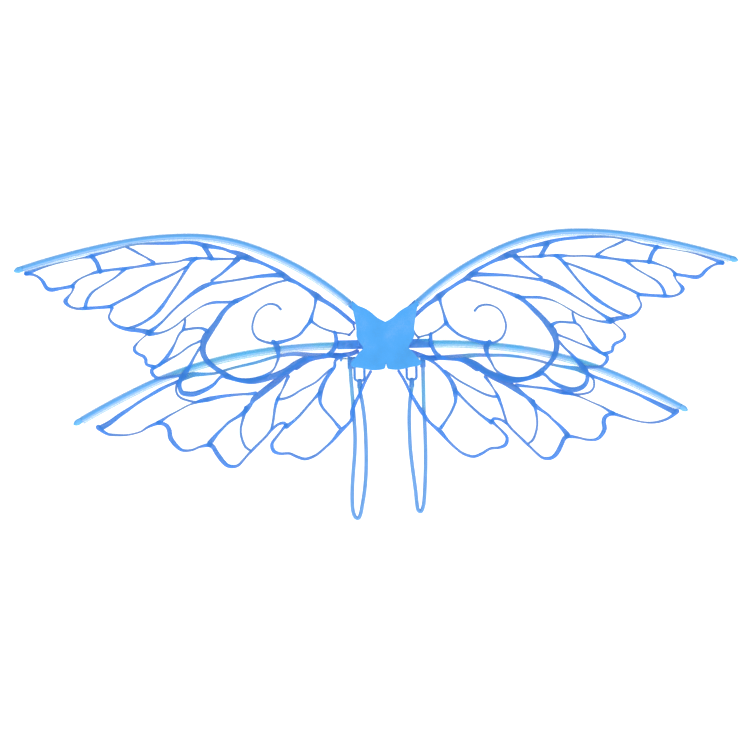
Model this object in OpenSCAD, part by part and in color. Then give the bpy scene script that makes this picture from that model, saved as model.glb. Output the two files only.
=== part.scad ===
// Fairy wings: four clear film wings on curved rods, plugged into two hinged arms
// on a small moulded hub, with a foam butterfly cover and two elastic shoulder straps.
// Millimetres, +Z up, +X to the viewer's right, -Y away from the wearer's back.
// The origin is the middle of the back pad's face that rests on the wearer.

/* [Hub] */
// Width of the flanges that carry the pad and the cover
hub_w = 44; // [38:1:52]
// Width of the closed box between the two hinges
core_w = 22; // [20:1:23]
// Height of the hub above the origin
hub_top = 15; // [14:1:18]
// Depth of the hub below the origin
hub_bottom = 25; // [25:1:30]
// Thickness of the back pad
pad_t = 5; // [3:0.5:8]
// Thickness of the butterfly cover
cover_t = 4; // [2:0.5:8]
// Size of the butterfly cover against its drawn outline
cover_scale = 1; // [0.9:0.02:1.2]
// Wall of the moulded shells
wall = 2; // [1.5:0.1:3]

/* [Hinges] */
// Distance of each hinge pin from the middle
hinge_x = 17; // [17:0.5:20]
// Depth of the hinge pins behind the wearer's face of the pad
hinge_depth = 12; // [11.5:0.1:12.5]
// Diameter of the hinge pin
hinge_pin_d = 3.5; // [2.5:0.1:4]
// Outer diameter of the arm's barrel
barrel_d = 9; // [8:0.1:9.5]
// Height of the ears above and below the barrel
ear_h = 6; // [4:0.5:8]
// Depth of the front flange behind the wearer's face of the pad
cover_depth = 28; // [28:0.5:36]

/* [Rods] */
// Diameter of the wing rods
rod_d = 6; // [5:0.1:6.6]
// Outer diameter of the film sleeve on a rod
sleeve_d = 8.4; // [7.6:0.1:8.8]
// Wall of the film sleeve
sleeve_wall = 0.4; // [0.3:0.05:0.6]
// Outer diameter of the root plug
plug_d = 7.2; // [7:0.1:8]
// Length of the plug inside its socket
plug_len = 18; // [12:1:20]
// Outer diameter of the upper socket
socket_d = 9.2; // [9:0.1:10]
// Height of the lower socket block
block_h = 11; // [10:0.5:14]
// Thickness of the lower socket block
block_t = 9.6; // [9.2:0.1:10]

/* [Films] */
// Thickness of the wing film
film_t = 0.4; // [0.2:0.05:0.6]
// Depth of the upper wings behind the wearer's face of the pad
upper_depth = 14.6; // [14.4:0.1:15]
// Depth of the lower wings behind the wearer's face of the pad
lower_depth = 8.5; // [8.3:0.1:8.9]

/* [Straps] */
// Diameter of the elastic cord
cord_d = 5; // [4:0.1:5.4]
// Diameter of the strap bar
bar_d = 3; // [2.5:0.1:3.2]
// Distance from the middle to each end of the strap bar
bar_end = 52.5; // [52.5:0.5:55]
// Outer diameter of the barrels that turn on the bar
bar_barrel_d = 5.4; // [5:0.1:6]
// Width of the strap link
link_w = 15; // [14:0.5:17]
// Drop of the strap link below the bar
link_drop = 28; // [24:1:32]
// Thickness of the strap link's wire
link_wire_d = 3.2; // [2.8:0.1:3.4]

/* [Hidden] */
$fn = 48;
eps = 0.01;

// Running clearance on a radius, and the wider gap left between parts that pass each other
fit = 0.05;
gap = 0.5;

// Depths along -Y, all measured from the pad's face on the wearer
plate_back = pad_t;
plate_front = plate_back + wall;
joint_depth = hinge_depth;
flange_back = cover_depth - wall;

// The barrel and the ears above and below it
barrel_top = 7.5;
barrel_bottom = -15.5;
ear_r = barrel_d / 2 + 1.5;
arm_clear_x = hinge_x + ear_r + 1;

// Screws through the back shell into the front one
screw_x = core_w / 2 - 5;
screw_z = [hub_top - 5, -13];
screw_d = 2.8;
screw_head_d = 5;
screw_head_h = 1.5;
post_d = 6.4;
screw_bite = 9;

// Half height of the back pad, which stops short of the strap bar
pad_half = 16;

// Strap bar
bar_depth = 3.6;
bar_z = -22;
lug_x = [9.5, 15.5];
cap_d = 6;
cap_t = 2;
link_x = [30, 33];
eye_x = [41, 47];
eye_len = 6;
eye_drop = 12;
eye_wall = 0.9;
tab_len = 4;
tab_drop = 9;
link_corner_r = 3.6;

// Rods: start point and arcs as [slope at start, slope at end, radius]
upper_start = [39, 43];
upper_arcs = [[42, 20, 360], [20, 1, 220], [1, -10, 420], [-10, -18, 900]];
lower_start = [56, -5];
lower_arcs = [[0, -8, 720], [-8, -25, 480], [-25, -30, 950]];
collar_t = 2;
collar_d = plug_d + 2;
tip_len = 5;
tip_wall = 0.7;
tip_taper = 6;
tip_end_d = 3;
tip_gap = 0.3;
sleeve_root = 2.5;
tube_sides = 12;

// Film outlines from the root round to the tip, without the straight weld along the sleeve
upper_edge = [
  [38, 30], [37.5, 14], [40, 0], [56, -5], [61, -16], [68, -22], [83, -25], [99, -25],
  [110, -31], [121, -40], [136, -47], [153, -51], [172, -50], [186, -45], [194, -46],
  [202, -54], [214, -61], [227, -65], [239, -62], [246, -55], [246, -46], [242, -39],
  [258, -38], [268, -35], [271, -28], [270, -22], [277, -18], [281, -9], [291, -6],
  [294, 0], [287, 9], [276, 17], [285, 20], [297, 22], [308, 27], [314, 35], [310, 44],
  [314, 48], [329, 47], [344, 46], [354, 46], [363, 50], [366, 56], [358, 65], [357, 72],
  [369, 71], [382, 69], [390, 71], [396, 78], [404, 83], [414, 86],
];
lower_edge = [
  [lower_start[0] + 1.5, lower_start[1] - block_h / 2 - 1.5],
  [40, -15], [33, -15], [22, -26], [17, -38], [24, -50], [32, -67], [41, -83], [51, -98],
  [63, -110], [75, -123], [84, -132], [93, -139], [105, -143], [115, -140], [126, -134],
  [141, -132], [148, -126], [146, -118], [138, -110], [130, -102], [131, -98], [140, -99],
  [148, -105], [160, -118], [171, -129], [182, -140], [192, -147], [201, -147],
  [209, -140], [214, -131], [221, -121], [233, -123], [245, -126], [257, -126],
  [265, -121], [268, -113], [266, -105], [268, -98], [277, -95], [290, -99], [305, -104],
  [320, -107], [335, -107], [347, -103], [354, -98], [357, -94],
];
// The left films are welded a little differently from the right ones
upper_edge_left = [
  [38.5, 23.5], [38, 14], [41, 5.5], [58, 0.5], [61.5, -10], [68, -16], [83.5, -19.5],
  [97.5, -20], [107.5, -26], [119, -35], [137, -42], [156, -45.5], [175, -44.5], [189, -39.5],
  [197, -41], [205, -49.5], [217, -56], [230, -60], [240.5, -59], [245, -54.5], [245, -46],
  [241, -39], [260, -40], [274, -39.5], [277.5, -33], [276.5, -27], [283, -23], [286, -13.5],
  [295.5, -10.5], [298, -4.5], [290.5, 4.5], [279.5, 12.5], [288.5, 15.5], [303, 18],
  [319, 23.5], [326, 31.5], [322.5, 40.5], [326.5, 44.5], [340.5, 43.5], [353.5, 43],
  [363.5, 43], [373, 47], [376.5, 53], [369, 62], [368, 69], [380, 68], [392.5, 66.5],
  [399, 69], [403, 77], [409.5, 83], [419, 86],
];
lower_edge_left = [
  [lower_start[0] + 1.5, lower_start[1] - block_h / 2 - 1.5],
  [40, -12.5], [33, -15], [22, -26], [17, -38], [24, -50], [32, -67], [39.5, -82.5],
  [41.5, -95], [52, -106.5], [64.5, -120], [75.5, -129.5], [85, -137], [97, -141],
  [107, -138], [117, -134], [131, -133], [138, -127], [136, -119], [128.5, -110], [121, -101],
  [122, -97], [130.5, -99], [138, -106], [150, -118.5], [161, -129], [171.5, -140],
  [180, -147], [189, -147], [197, -140], [203.5, -131], [211, -121], [222.5, -123],
  [232, -127], [244, -127], [252.5, -122], [258, -112.5], [258.5, -104], [261, -96.5],
  [270, -93.5], [282.5, -97.5], [293.5, -104], [308, -107], [322.5, -107.5], [332, -106],
  [338.5, -101], [341.5, -97.5],
];

// Half outline of the butterfly cover, from the notch at the top to the one below
cover_half = [
  [0, 21], [9, 26], [17, 33], [24, 37.5], [31, 40.5], [39.5, 45], [38, 34], [36, 24],
  [34.5, 13], [34.5, 4], [31, -3], [27, -9.5], [31, -14], [36, -20], [42, -28], [39, -32],
  [30, -33.5], [21, -35.5], [14, -36.5], [7, -36], [2.4, -35], [0.9, -32.5], [0, -28],
];

// Strap routes in X and Z, from the outer eye down round the loop and up to the link's tab
cord_left = [
  [41, -25], [41, -34], [40.5, -46], [39.5, -62], [38.5, -80], [37.5, -98], [37, -118],
  [38, -138], [40, -158], [41.5, -176], [42, -192], [41.5, -204], [39, -212], [35, -214],
  [32, -208], [29.5, -196], [27, -182], [25, -164], [24, -144], [24, -124], [24.5, -104],
  [26, -86], [28, -71], [30, -60], [30, -52],
];
cord_right = [
  [47, -25], [47, -34], [47, -46], [47, -62], [47, -80], [47.5, -98], [48, -118],
  [48, -138], [47.5, -158], [46.5, -176], [45.5, -190], [44, -201], [41, -208], [37.5, -206],
  [36, -197], [35, -184], [33, -166], [31, -148], [29.5, -130], [29, -112], [29, -94],
  [30, -78], [31.5, -66], [33, -58], [33, -52],
];

// A smooth curve through the points, with steps pieces between each pair
function spline(p, steps) = concat(
  [for (i = [0:len(p) - 2], k = [0:steps - 1])
    let (a = p[max(i - 1, 0)], b = p[i], c = p[i + 1], d = p[min(i + 2, len(p) - 1)], t = k / steps)
    0.5 * (2 * b + (c - a) * t + (2 * a - 5 * b + 4 * c - d) * t * t + (3 * b - a - 3 * c + d) * t * t * t)],
  [p[len(p) - 1]]);

// Centre of an arc, and the point on it at a slope, where side is the offset above the centreline
function arc_centre(p, arc) = p + arc[2] * [sin(arc[0]), -cos(arc[0])];
function arc_point(p, arc, slope, side = 0) = arc_centre(p, arc) + (arc[2] + side) * [-sin(slope), cos(slope)];
function arc_start(p, arcs, n) = n == 0 ? p : arc_point(arc_start(p, arcs, n - 1), arcs[n - 1], arcs[n - 1][1]);
function rod_end(p, arcs) = arc_start(p, arcs, len(arcs));

// Arcs shortened by a length at the root and at the tip
function trimmed(arcs, root, tip) = [for (i = [0:len(arcs) - 1])
  [i == 0 ? arcs[i][0] - root / arcs[i][2] * 180 / PI : arcs[i][0],
   i == len(arcs) - 1 ? arcs[i][1] + tip / arcs[i][2] * 180 / PI : arcs[i][1],
   arcs[i][2]]];

// Points along a run of arcs at an offset, about one every 14 mm
function run_points(p, arcs, cut, side = 0) = [for (i = [0:len(arcs) - 1])
  let (n = ceil((cut[i][0] - cut[i][1]) * PI / 180 * arcs[i][2] / 14), q = arc_start(p, arcs, i))
  for (k = [0:n]) if (i == 0 || k > 0)
    arc_point(q, arcs[i], cut[i][0] + (cut[i][1] - cut[i][0]) * k / n, side)];

// The whole outline of a film: its free edge, then the weld along the sleeve
function film_outline(start, arcs, edge, root) = concat(
  spline(edge, 3),
  run_points(start, arcs, trimmed(arcs, root, tip_len + tip_gap + 1), -sleeve_d / 2 - eps));

// Turns an outline reversed end to end
function reversed(p) = [for (i = [len(p) - 1:-1:0]) p[i]];

// Things drawn in the plane of the wings, at a depth behind the wearer's face
module at_depth(depth) { translate([0, -depth, 0]) rotate([90, 0, 0]) children(); }

// Slab between two depths from an outline in X and Z
module slab(back, front) { at_depth(back) linear_extrude(front - back) children(); }

// The same on the left when side is -1, and on the right when it is 1
module sided(side) { if (side < 0) mirror([1, 0, 0]) children(); else children(); }

module both_sides() { for (side = [-1, 1]) sided(side) children(); }

module hub_outline(w) { translate([-w / 2, -hub_bottom]) square([w, hub_bottom + hub_top]); }

module rounded_outline(w, low, high, r) {
  for (x = [-w / 2 + r, w / 2 - r], z = [low + r, high - r]) translate([x, z]) circle(r);
  translate([-w / 2 + r, low]) square([w - 2 * r, high - low]);
  translate([-w / 2, low + r]) square([w, high - low - 2 * r]);
}

module at_screws(depth) {
  for (x = [-screw_x, screw_x], z = screw_z) translate([x, -depth, z]) rotate([90, 0, 0]) children();
}

module upright(x, depth, low, high, d) { translate([x, -depth, low]) cylinder(h = high - low, d = d); }

module along_bar(x, len, d) { translate([x - len / 2, -bar_depth, bar_z]) rotate([0, 90, 0]) cylinder(h = len, d = d); }

// ---- Hub ----

module cover_outline() {
  half = spline(cover_half, 4);
  right = [for (p = half) p * cover_scale];
  left = [for (p = reversed(half)) if (p[0] > eps) [-p[0], p[1]] * cover_scale];
  polygon(concat(right, left));
}

module cover_butterfly() {
  color([0.31, 0.67, 0.98]) slab(cover_depth, cover_depth + cover_t) cover_outline();
}

module hub_front() {
  color([0.45, 0.7, 0.95]) difference() {
    union() {
      slab(flange_back, cover_depth) rounded_outline(hub_w, -hub_bottom, hub_top, 5);
      slab(joint_depth, flange_back + eps) hub_outline(core_w);
    }
    difference() {
      slab(joint_depth - 1, flange_back) inner_outline();
      at_screws(joint_depth - 1) cylinder(h = flange_back - joint_depth + 1, d = post_d);
    }
    at_screws(joint_depth - 1) cylinder(h = screw_bite + 1, d = screw_d);
  }
}

module inner_outline() {
  translate([-core_w / 2 + wall, -hub_bottom + wall]) square([core_w - 2 * wall, hub_bottom + hub_top - 2 * wall]);
}

// One ear: a ring round the pin with a bridge to the box
module ear(low) {
  upright(hinge_x, hinge_depth, low, low + ear_h, 2 * ear_r);
  translate([core_w / 2 - wall, -hinge_depth - ear_r, low]) cube([hinge_x - core_w / 2 + wall, 2 * ear_r, ear_h]);
}

module hub_back() {
  ear_low = barrel_bottom - 0.2 - ear_h;
  ear_high = barrel_top + 0.2;
  color([0.45, 0.7, 0.95]) difference() {
    union() {
      slab(plate_back, plate_front) rounded_outline(hub_w, -hub_bottom, hub_top, 5);
      difference() {
        slab(plate_front - eps, joint_depth) hub_outline(core_w);
        slab(plate_front, joint_depth + 1) inner_outline();
      }
      at_screws(plate_front - eps) cylinder(h = joint_depth - plate_front + eps, d = post_d);
      both_sides() for (low = [ear_low, ear_high]) difference() {
        ear(low);
        slab(joint_depth, hinge_depth + ear_r + 1) hub_outline(core_w + 2 * gap);
      }
      both_sides() translate([lug_x[0], -plate_back - wall / 2, -hub_bottom])
        cube([lug_x[1] - lug_x[0], plate_back + wall / 2 - gap, 6]);
    }
    both_sides() upright(hinge_x, hinge_depth, -hub_bottom - 1, hub_top + 1, hinge_pin_d);
    at_screws(plate_back - 1) cylinder(h = joint_depth, d = screw_d + 0.4);
    at_screws(plate_back - 1) cylinder(h = screw_head_h + 1.2, d = screw_head_d + 0.4);
    along_bar(0, 2 * bar_end, bar_d);
  }
}

module hub_screws() {
  color([0.75, 0.76, 0.78]) at_screws(plate_back + 0.2) difference() {
    union() {
      cylinder(h = screw_head_h, d = screw_head_d);
      cylinder(h = joint_depth - plate_back - 0.2 + screw_bite - 1, d = screw_d);
    }
    translate([-1.6, -0.3, -eps]) cube([3.2, 0.6, 0.8]);
    translate([-0.3, -1.6, -eps]) cube([0.6, 3.2, 0.8]);
  }
}

module back_pad() {
  color([0.6, 0.8, 0.98]) slab(0, pad_t) rounded_outline(hub_w + 2, -pad_half, pad_half, 8);
}

module hinge_pin(side) {
  color([0.8, 0.82, 0.85]) sided(side) upright(hinge_x, hinge_depth, barrel_bottom - ear_h, barrel_top + ear_h, hinge_pin_d);
}

module strap_bar() { color([0.8, 0.82, 0.85]) along_bar(0, 2 * bar_end, bar_d); }

module bar_caps() {
  color([0.4, 0.65, 0.95]) both_sides() difference() {
    along_bar(bar_end - cap_t / 2 + 0.5, cap_t + 1, cap_d);
    along_bar(bar_end - cap_t, 2 * cap_t, bar_d);
  }
}

// ---- Arms ----

// Turns a shape lying along +X from the origin to lie along a rod's root
module at_root(start, slope, depth) { translate([start[0], -depth, start[1]]) rotate([0, -slope, 0]) children(); }

module along_x(from, to, d) { translate([from, 0, 0]) rotate([0, 90, 0]) cylinder(h = to - from, d = d); }

module arm(side) {
  block_low = lower_start[1] - block_h / 2;
  upper_slope = upper_arcs[0][0];
  socket_end = upper_start - (plug_len + wall) * [cos(upper_slope), sin(upper_slope)];
  color([0.35, 0.6, 0.95]) sided(side) difference() {
    union() {
      upright(hinge_x, hinge_depth, barrel_bottom, barrel_top, barrel_d);
      translate([hinge_x, -hinge_depth - barrel_d / 2 + 0.5, block_low]) cube([13, barrel_d - 1, block_h]);
      translate([arm_clear_x + 2, -lower_depth - block_t / 2, block_low])
        cube([lower_start[0] - arm_clear_x - 2, block_t, block_h]);
      slab(upper_depth - 3, upper_depth + 2.5) polygon([
        [arm_clear_x, block_low + 3], [arm_clear_x + 8, block_low + 3],
        upper_start - [4, 9], socket_end + [0, 1]]);
      at_root(upper_start, upper_slope, upper_depth) along_x(-plug_len - wall, 0, socket_d);
    }
    upright(hinge_x, hinge_depth, barrel_bottom - 1, barrel_top + 1, hinge_pin_d + 2 * fit);
    at_root(upper_start, upper_slope, upper_depth) along_x(-plug_len, 1, plug_d + 2 * fit);
    at_root(lower_start, 0, lower_depth) along_x(-plug_len, 1, plug_d + 2 * fit);
  }
}

// ---- Wings ----

// Rings of points round a path in X and Z, and the skin between neighbouring rings
function ring_points(path, depth, d, sides) =
  let (n = len(path), dirs = [for (i = [0:n - 1])
    let (v = path[min(i + 1, n - 1)] - path[max(i - 1, 0)]) v / norm(v)])
  [for (i = [0:n - 1], k = [0:sides - 1]) let (a = 360 * (k + 0.5) / sides, r = d / 2)
    [path[i][0] - dirs[i][1] * r * cos(a), r * sin(a) - depth, path[i][1] + dirs[i][0] * r * cos(a)]];

function ring_skin(first, rings, sides, inward) = [for (i = [0:rings - 2], k = [0:sides - 1])
  let (a = first + i * sides, m = (k + 1) % sides)
  inward ? [a + k, a + sides + k, a + sides + m, a + m] : [a + k, a + m, a + sides + m, a + sides + k]];

// A rod, or a tube when it has a bore, swept along a path
module swept(path, depth, d, bore = 0, sides = tube_sides) {
  n = len(path);
  inner = n * sides;
  last = (n - 1) * sides;
  ends = bore == 0
    ? [[for (k = [sides - 1:-1:0]) k], [for (k = [0:sides - 1]) last + k]]
    : [for (k = [0:sides - 1]) let (m = (k + 1) % sides)
        each [[k, inner + k, inner + m, m], [last + k, last + m, inner + last + m, inner + last + k]]];
  polyhedron(
    concat(ring_points(path, depth, d, sides), bore == 0 ? [] : ring_points(path, depth, bore, sides)),
    concat(ring_skin(0, n, sides, false), bore == 0 ? [] : ring_skin(inner, n, sides, true), ends),
    convexity = 6);
}

module plug(side, start, slope, depth) {
  color([0.5, 0.75, 1]) sided(side) at_root(start, slope, depth) difference() {
    union() {
      along_x(-plug_len + 0.5, 0, plug_d);
      along_x(fit, collar_t, collar_d);
      along_x(-1, 1, plug_d);
    }
    along_x(-plug_len, collar_t + 1, rod_d);
  }
}

module rod(side, start, arcs, depth) {
  root = arcs[0][0];
  tail = start - (plug_len - 1) * [cos(root), sin(root)];
  color([0.55, 0.78, 1]) sided(side)
    swept(concat([tail], run_points(start, arcs, arcs)), depth, rod_d);
}

module sleeve(side, start, arcs, depth) {
  cut = trimmed(arcs, sleeve_root, tip_len + tip_gap);
  color([0.6, 0.82, 1, 0.5]) sided(side)
    swept(run_points(start, arcs, cut), depth, sleeve_d / cos(180 / tube_sides), sleeve_d - 2 * sleeve_wall);
}

module film(side, start, arcs, edge, depth) {
  color([0.7, 0.88, 1, 0.4]) sided(side)
    slab(depth - film_t / 2, depth + film_t / 2) polygon(film_outline(start, arcs, reversed(edge), sleeve_root));
}

module tip(side, start, arcs, depth) {
  tip_d = rod_d + 2 * tip_wall;
  color([0.45, 0.7, 1]) sided(side) at_root(rod_end(start, arcs), arcs[len(arcs) - 1][1], depth) difference() {
    union() {
      along_x(-tip_len, 0, tip_d);
      rotate([0, 90, 0]) cylinder(h = tip_taper, d1 = tip_d, d2 = tip_end_d);
    }
    along_x(-tip_len - 1, eps, rod_d + 2 * fit);
  }
}

// ---- Straps ----

module bar_eye(x, len) { along_bar(x, len, bar_barrel_d); }

module strap_link(side, x) {
  half = link_w / 2 - link_wire_d / 2;
  low = bar_z - link_drop + link_wire_d / 2;
  color([0.3, 0.55, 0.9]) sided(side) difference() {
    union() {
      bar_eye(x, link_w);
      for (s = [-1, 1]) {
        upright(x + s * half, bar_depth, low + link_corner_r, bar_z, link_wire_d);
        translate([x + s * (half - link_corner_r), -bar_depth, low + link_corner_r]) rotate([90, 0, 0])
          rotate(s > 0 ? -90 : 180) rotate_extrude(angle = 90) translate([link_corner_r, 0]) circle(d = link_wire_d);
      }
      translate([x, -bar_depth, low]) rotate([0, 90, 0])
        cylinder(h = 2 * (half - link_corner_r), d = link_wire_d, center = true);
    }
    along_bar(x, link_w + 2, bar_d + 2 * fit);
  }
}

module strap_eye(side, x) {
  color([0.35, 0.6, 0.92]) sided(side) difference() {
    union() {
      bar_eye(x, eye_len);
      upright(x, bar_depth, bar_z - eye_drop, bar_z - 1, cord_d + 2 * eye_wall);
    }
    along_bar(x, eye_len + 2, bar_d + 2 * fit);
    upright(x, bar_depth, bar_z - eye_drop - 1, bar_z - 3, cord_d);
  }
}

module strap_tab(side, x) {
  low = bar_z - link_drop + link_wire_d / 2;
  color([0.35, 0.6, 0.92]) sided(side) difference() {
    union() {
      translate([x, -bar_depth, low]) rotate([0, 90, 0])
        cylinder(h = tab_len, d = link_wire_d + 2 * eye_wall, center = true);
      upright(x, bar_depth, low - tab_drop, low - 0.5, cord_d + 2 * eye_wall - 0.4);
    }
    translate([x, -bar_depth, low]) rotate([0, 90, 0]) cylinder(h = 9, d = link_wire_d + 2 * fit, center = true);
    upright(x, bar_depth, low - tab_drop - 1, low - 2.6, cord_d);
  }
}

module strap_cord(side, route) {
  color([0.3, 0.58, 0.93]) sided(side) swept(spline(route, 2), bar_depth, cord_d - 4 * fit, sides = 8);
}

cover_butterfly();
hub_front();
hub_back();
hub_screws();
back_pad();
hinge_pin(-1);  // hinge_pin_left
hinge_pin(1);  // hinge_pin_right
strap_bar();
bar_caps();
arm(-1);  // arm_left
arm(1);  // arm_right
plug(-1, upper_start, upper_arcs[0][0], upper_depth);  // upper_plug_left
plug(1, upper_start, upper_arcs[0][0], upper_depth);  // upper_plug_right
rod(-1, upper_start, upper_arcs, upper_depth);  // upper_rod_left
rod(1, upper_start, upper_arcs, upper_depth);  // upper_rod_right
sleeve(-1, upper_start, upper_arcs, upper_depth);  // upper_sleeve_left
sleeve(1, upper_start, upper_arcs, upper_depth);  // upper_sleeve_right
film(-1, upper_start, upper_arcs, upper_edge_left, upper_depth);  // upper_film_left
film(1, upper_start, upper_arcs, upper_edge, upper_depth);  // upper_film_right
tip(-1, upper_start, upper_arcs, upper_depth);  // upper_tip_left
tip(1, upper_start, upper_arcs, upper_depth);  // upper_tip_right
plug(-1, lower_start, lower_arcs[0][0], lower_depth);  // lower_plug_left
plug(1, lower_start, lower_arcs[0][0], lower_depth);  // lower_plug_right
rod(-1, lower_start, lower_arcs, lower_depth);  // lower_rod_left
rod(1, lower_start, lower_arcs, lower_depth);  // lower_rod_right
sleeve(-1, lower_start, lower_arcs, lower_depth);  // lower_sleeve_left
sleeve(1, lower_start, lower_arcs, lower_depth);  // lower_sleeve_right
film(-1, lower_start, lower_arcs, lower_edge_left, lower_depth);  // lower_film_left
film(1, lower_start, lower_arcs, lower_edge, lower_depth);  // lower_film_right
tip(-1, lower_start, lower_arcs, lower_depth);  // lower_tip_left
tip(1, lower_start, lower_arcs, lower_depth);  // lower_tip_right
strap_link(-1, link_x[0]);  // strap_link_left
strap_link(1, link_x[1]);  // strap_link_right
strap_eye(-1, eye_x[0]);  // strap_eye_left
strap_eye(1, eye_x[1]);  // strap_eye_right
strap_tab(-1, link_x[0]);  // strap_tab_left
strap_tab(1, link_x[1]);  // strap_tab_right
strap_cord(-1, cord_left);  // strap_cord_left
strap_cord(1, cord_right);  // strap_cord_right
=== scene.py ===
"""Fairy wings: clear printed film on curved rods, hinged on a small hub, with elastic shoulder straps.

Laid out as an add-on with one operator for each piece or group of like pieces.
Metres, +Z up, +X to the viewer's right, -Y away from the wearer's back.
"""

import math

import bmesh
import bpy
import numpy as np
from mathutils import Matrix, Vector
from mathutils.geometry import delaunay_2d_cdt


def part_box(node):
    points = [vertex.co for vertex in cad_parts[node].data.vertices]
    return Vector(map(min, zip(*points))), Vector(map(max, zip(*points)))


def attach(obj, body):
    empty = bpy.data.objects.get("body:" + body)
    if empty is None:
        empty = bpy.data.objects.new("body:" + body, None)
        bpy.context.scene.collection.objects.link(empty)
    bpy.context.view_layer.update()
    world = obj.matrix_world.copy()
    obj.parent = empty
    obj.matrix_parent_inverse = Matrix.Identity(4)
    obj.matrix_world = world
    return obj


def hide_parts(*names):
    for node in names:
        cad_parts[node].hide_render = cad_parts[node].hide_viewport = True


bl_info = {
    "name": "Fairy Wings",
    "version": (1, 0, 0),
    "blender": (4, 5, 0),
    "location": "View3D > Sidebar > Wings",
    "description": "Builds film fairy wings with printed veins, rods, a foam cover and elastic straps",
    "category": "Add Mesh",
}

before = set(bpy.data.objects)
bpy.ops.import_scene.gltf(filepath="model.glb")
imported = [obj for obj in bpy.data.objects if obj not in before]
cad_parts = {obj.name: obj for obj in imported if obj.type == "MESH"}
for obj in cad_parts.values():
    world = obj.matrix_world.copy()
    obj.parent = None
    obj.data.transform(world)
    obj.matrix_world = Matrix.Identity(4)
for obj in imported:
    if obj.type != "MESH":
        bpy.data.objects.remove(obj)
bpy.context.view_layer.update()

MM = 0.001
SIDES = {"left": -1, "right": 1}

# ---- The lines that the pieces follow, in millimetres ----

# Start of each rod's arcs, and each arc as slope at its start, slope at its end and radius
UPPER_START = (39, 43)
UPPER_ARCS = [(42, 20, 360), (20, 1, 220), (1, -10, 420), (-10, -18, 900)]
LOWER_START = (56, -5)
LOWER_ARCS = [(0, -8, 720), (-8, -25, 480), (-25, -30, 950)]
PLUG_LENGTH = 18
SLEEVE_ROOT = 2.5
CAP_TAPER = 6
SLEEVE_TIP = 5.3

# Distance along the rod from its end, and the step in radius, round the cap's grooved collar
CAP_COLLAR = [(-5.0, -0.45), (-4.8, -0.12), (-4.4, 0.0), (-2.6, 0.0), (-2.3, -0.18), (-1.9, 0.0)]
CAP_WALL = 0.7
CAP_END_RADIUS = 0.12

# The film pocket's flat weld: its width, and half its thickness outside and where it meets the tube
WELD_WIDTH = 1.5
WELD_HALF = 0.18
WELD_ROOT_HALF = 0.26
POCKET_TURN = 172

# The film's waves fan out from here, and grow from nothing near the rod to full over this reach
WAVE_CENTRE = (30, 10)
WAVE_START = 6
WAVE_REACH = 60

STRAP_DEPTH = 3.6
STRAP_ROUTES = {
    "left": [
        (41, -25), (41, -34), (40.5, -46), (39.5, -62), (38.5, -80), (37.5, -98), (37, -118),
        (38, -138), (40, -158), (41.5, -176), (42, -192), (41.5, -204), (39, -212), (35, -214),
        (32, -208), (29.5, -196), (27, -182), (25, -164), (24, -144), (24, -124), (24.5, -104),
        (26, -86), (28, -71), (30, -60), (30, -52),
    ],
    "right": [
        (47, -25), (47, -34), (47, -46), (47, -62), (47, -80), (47.5, -98), (48, -118),
        (48, -138), (47.5, -158), (46.5, -176), (45.5, -190), (44, -201), (41, -208), (37.5, -206),
        (36, -197), (35, -184), (33, -166), (31, -148), (29.5, -130), (29, -112), (29, -94),
        (30, -78), (31.5, -66), (33, -58), (33, -52),
    ],
}

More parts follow.
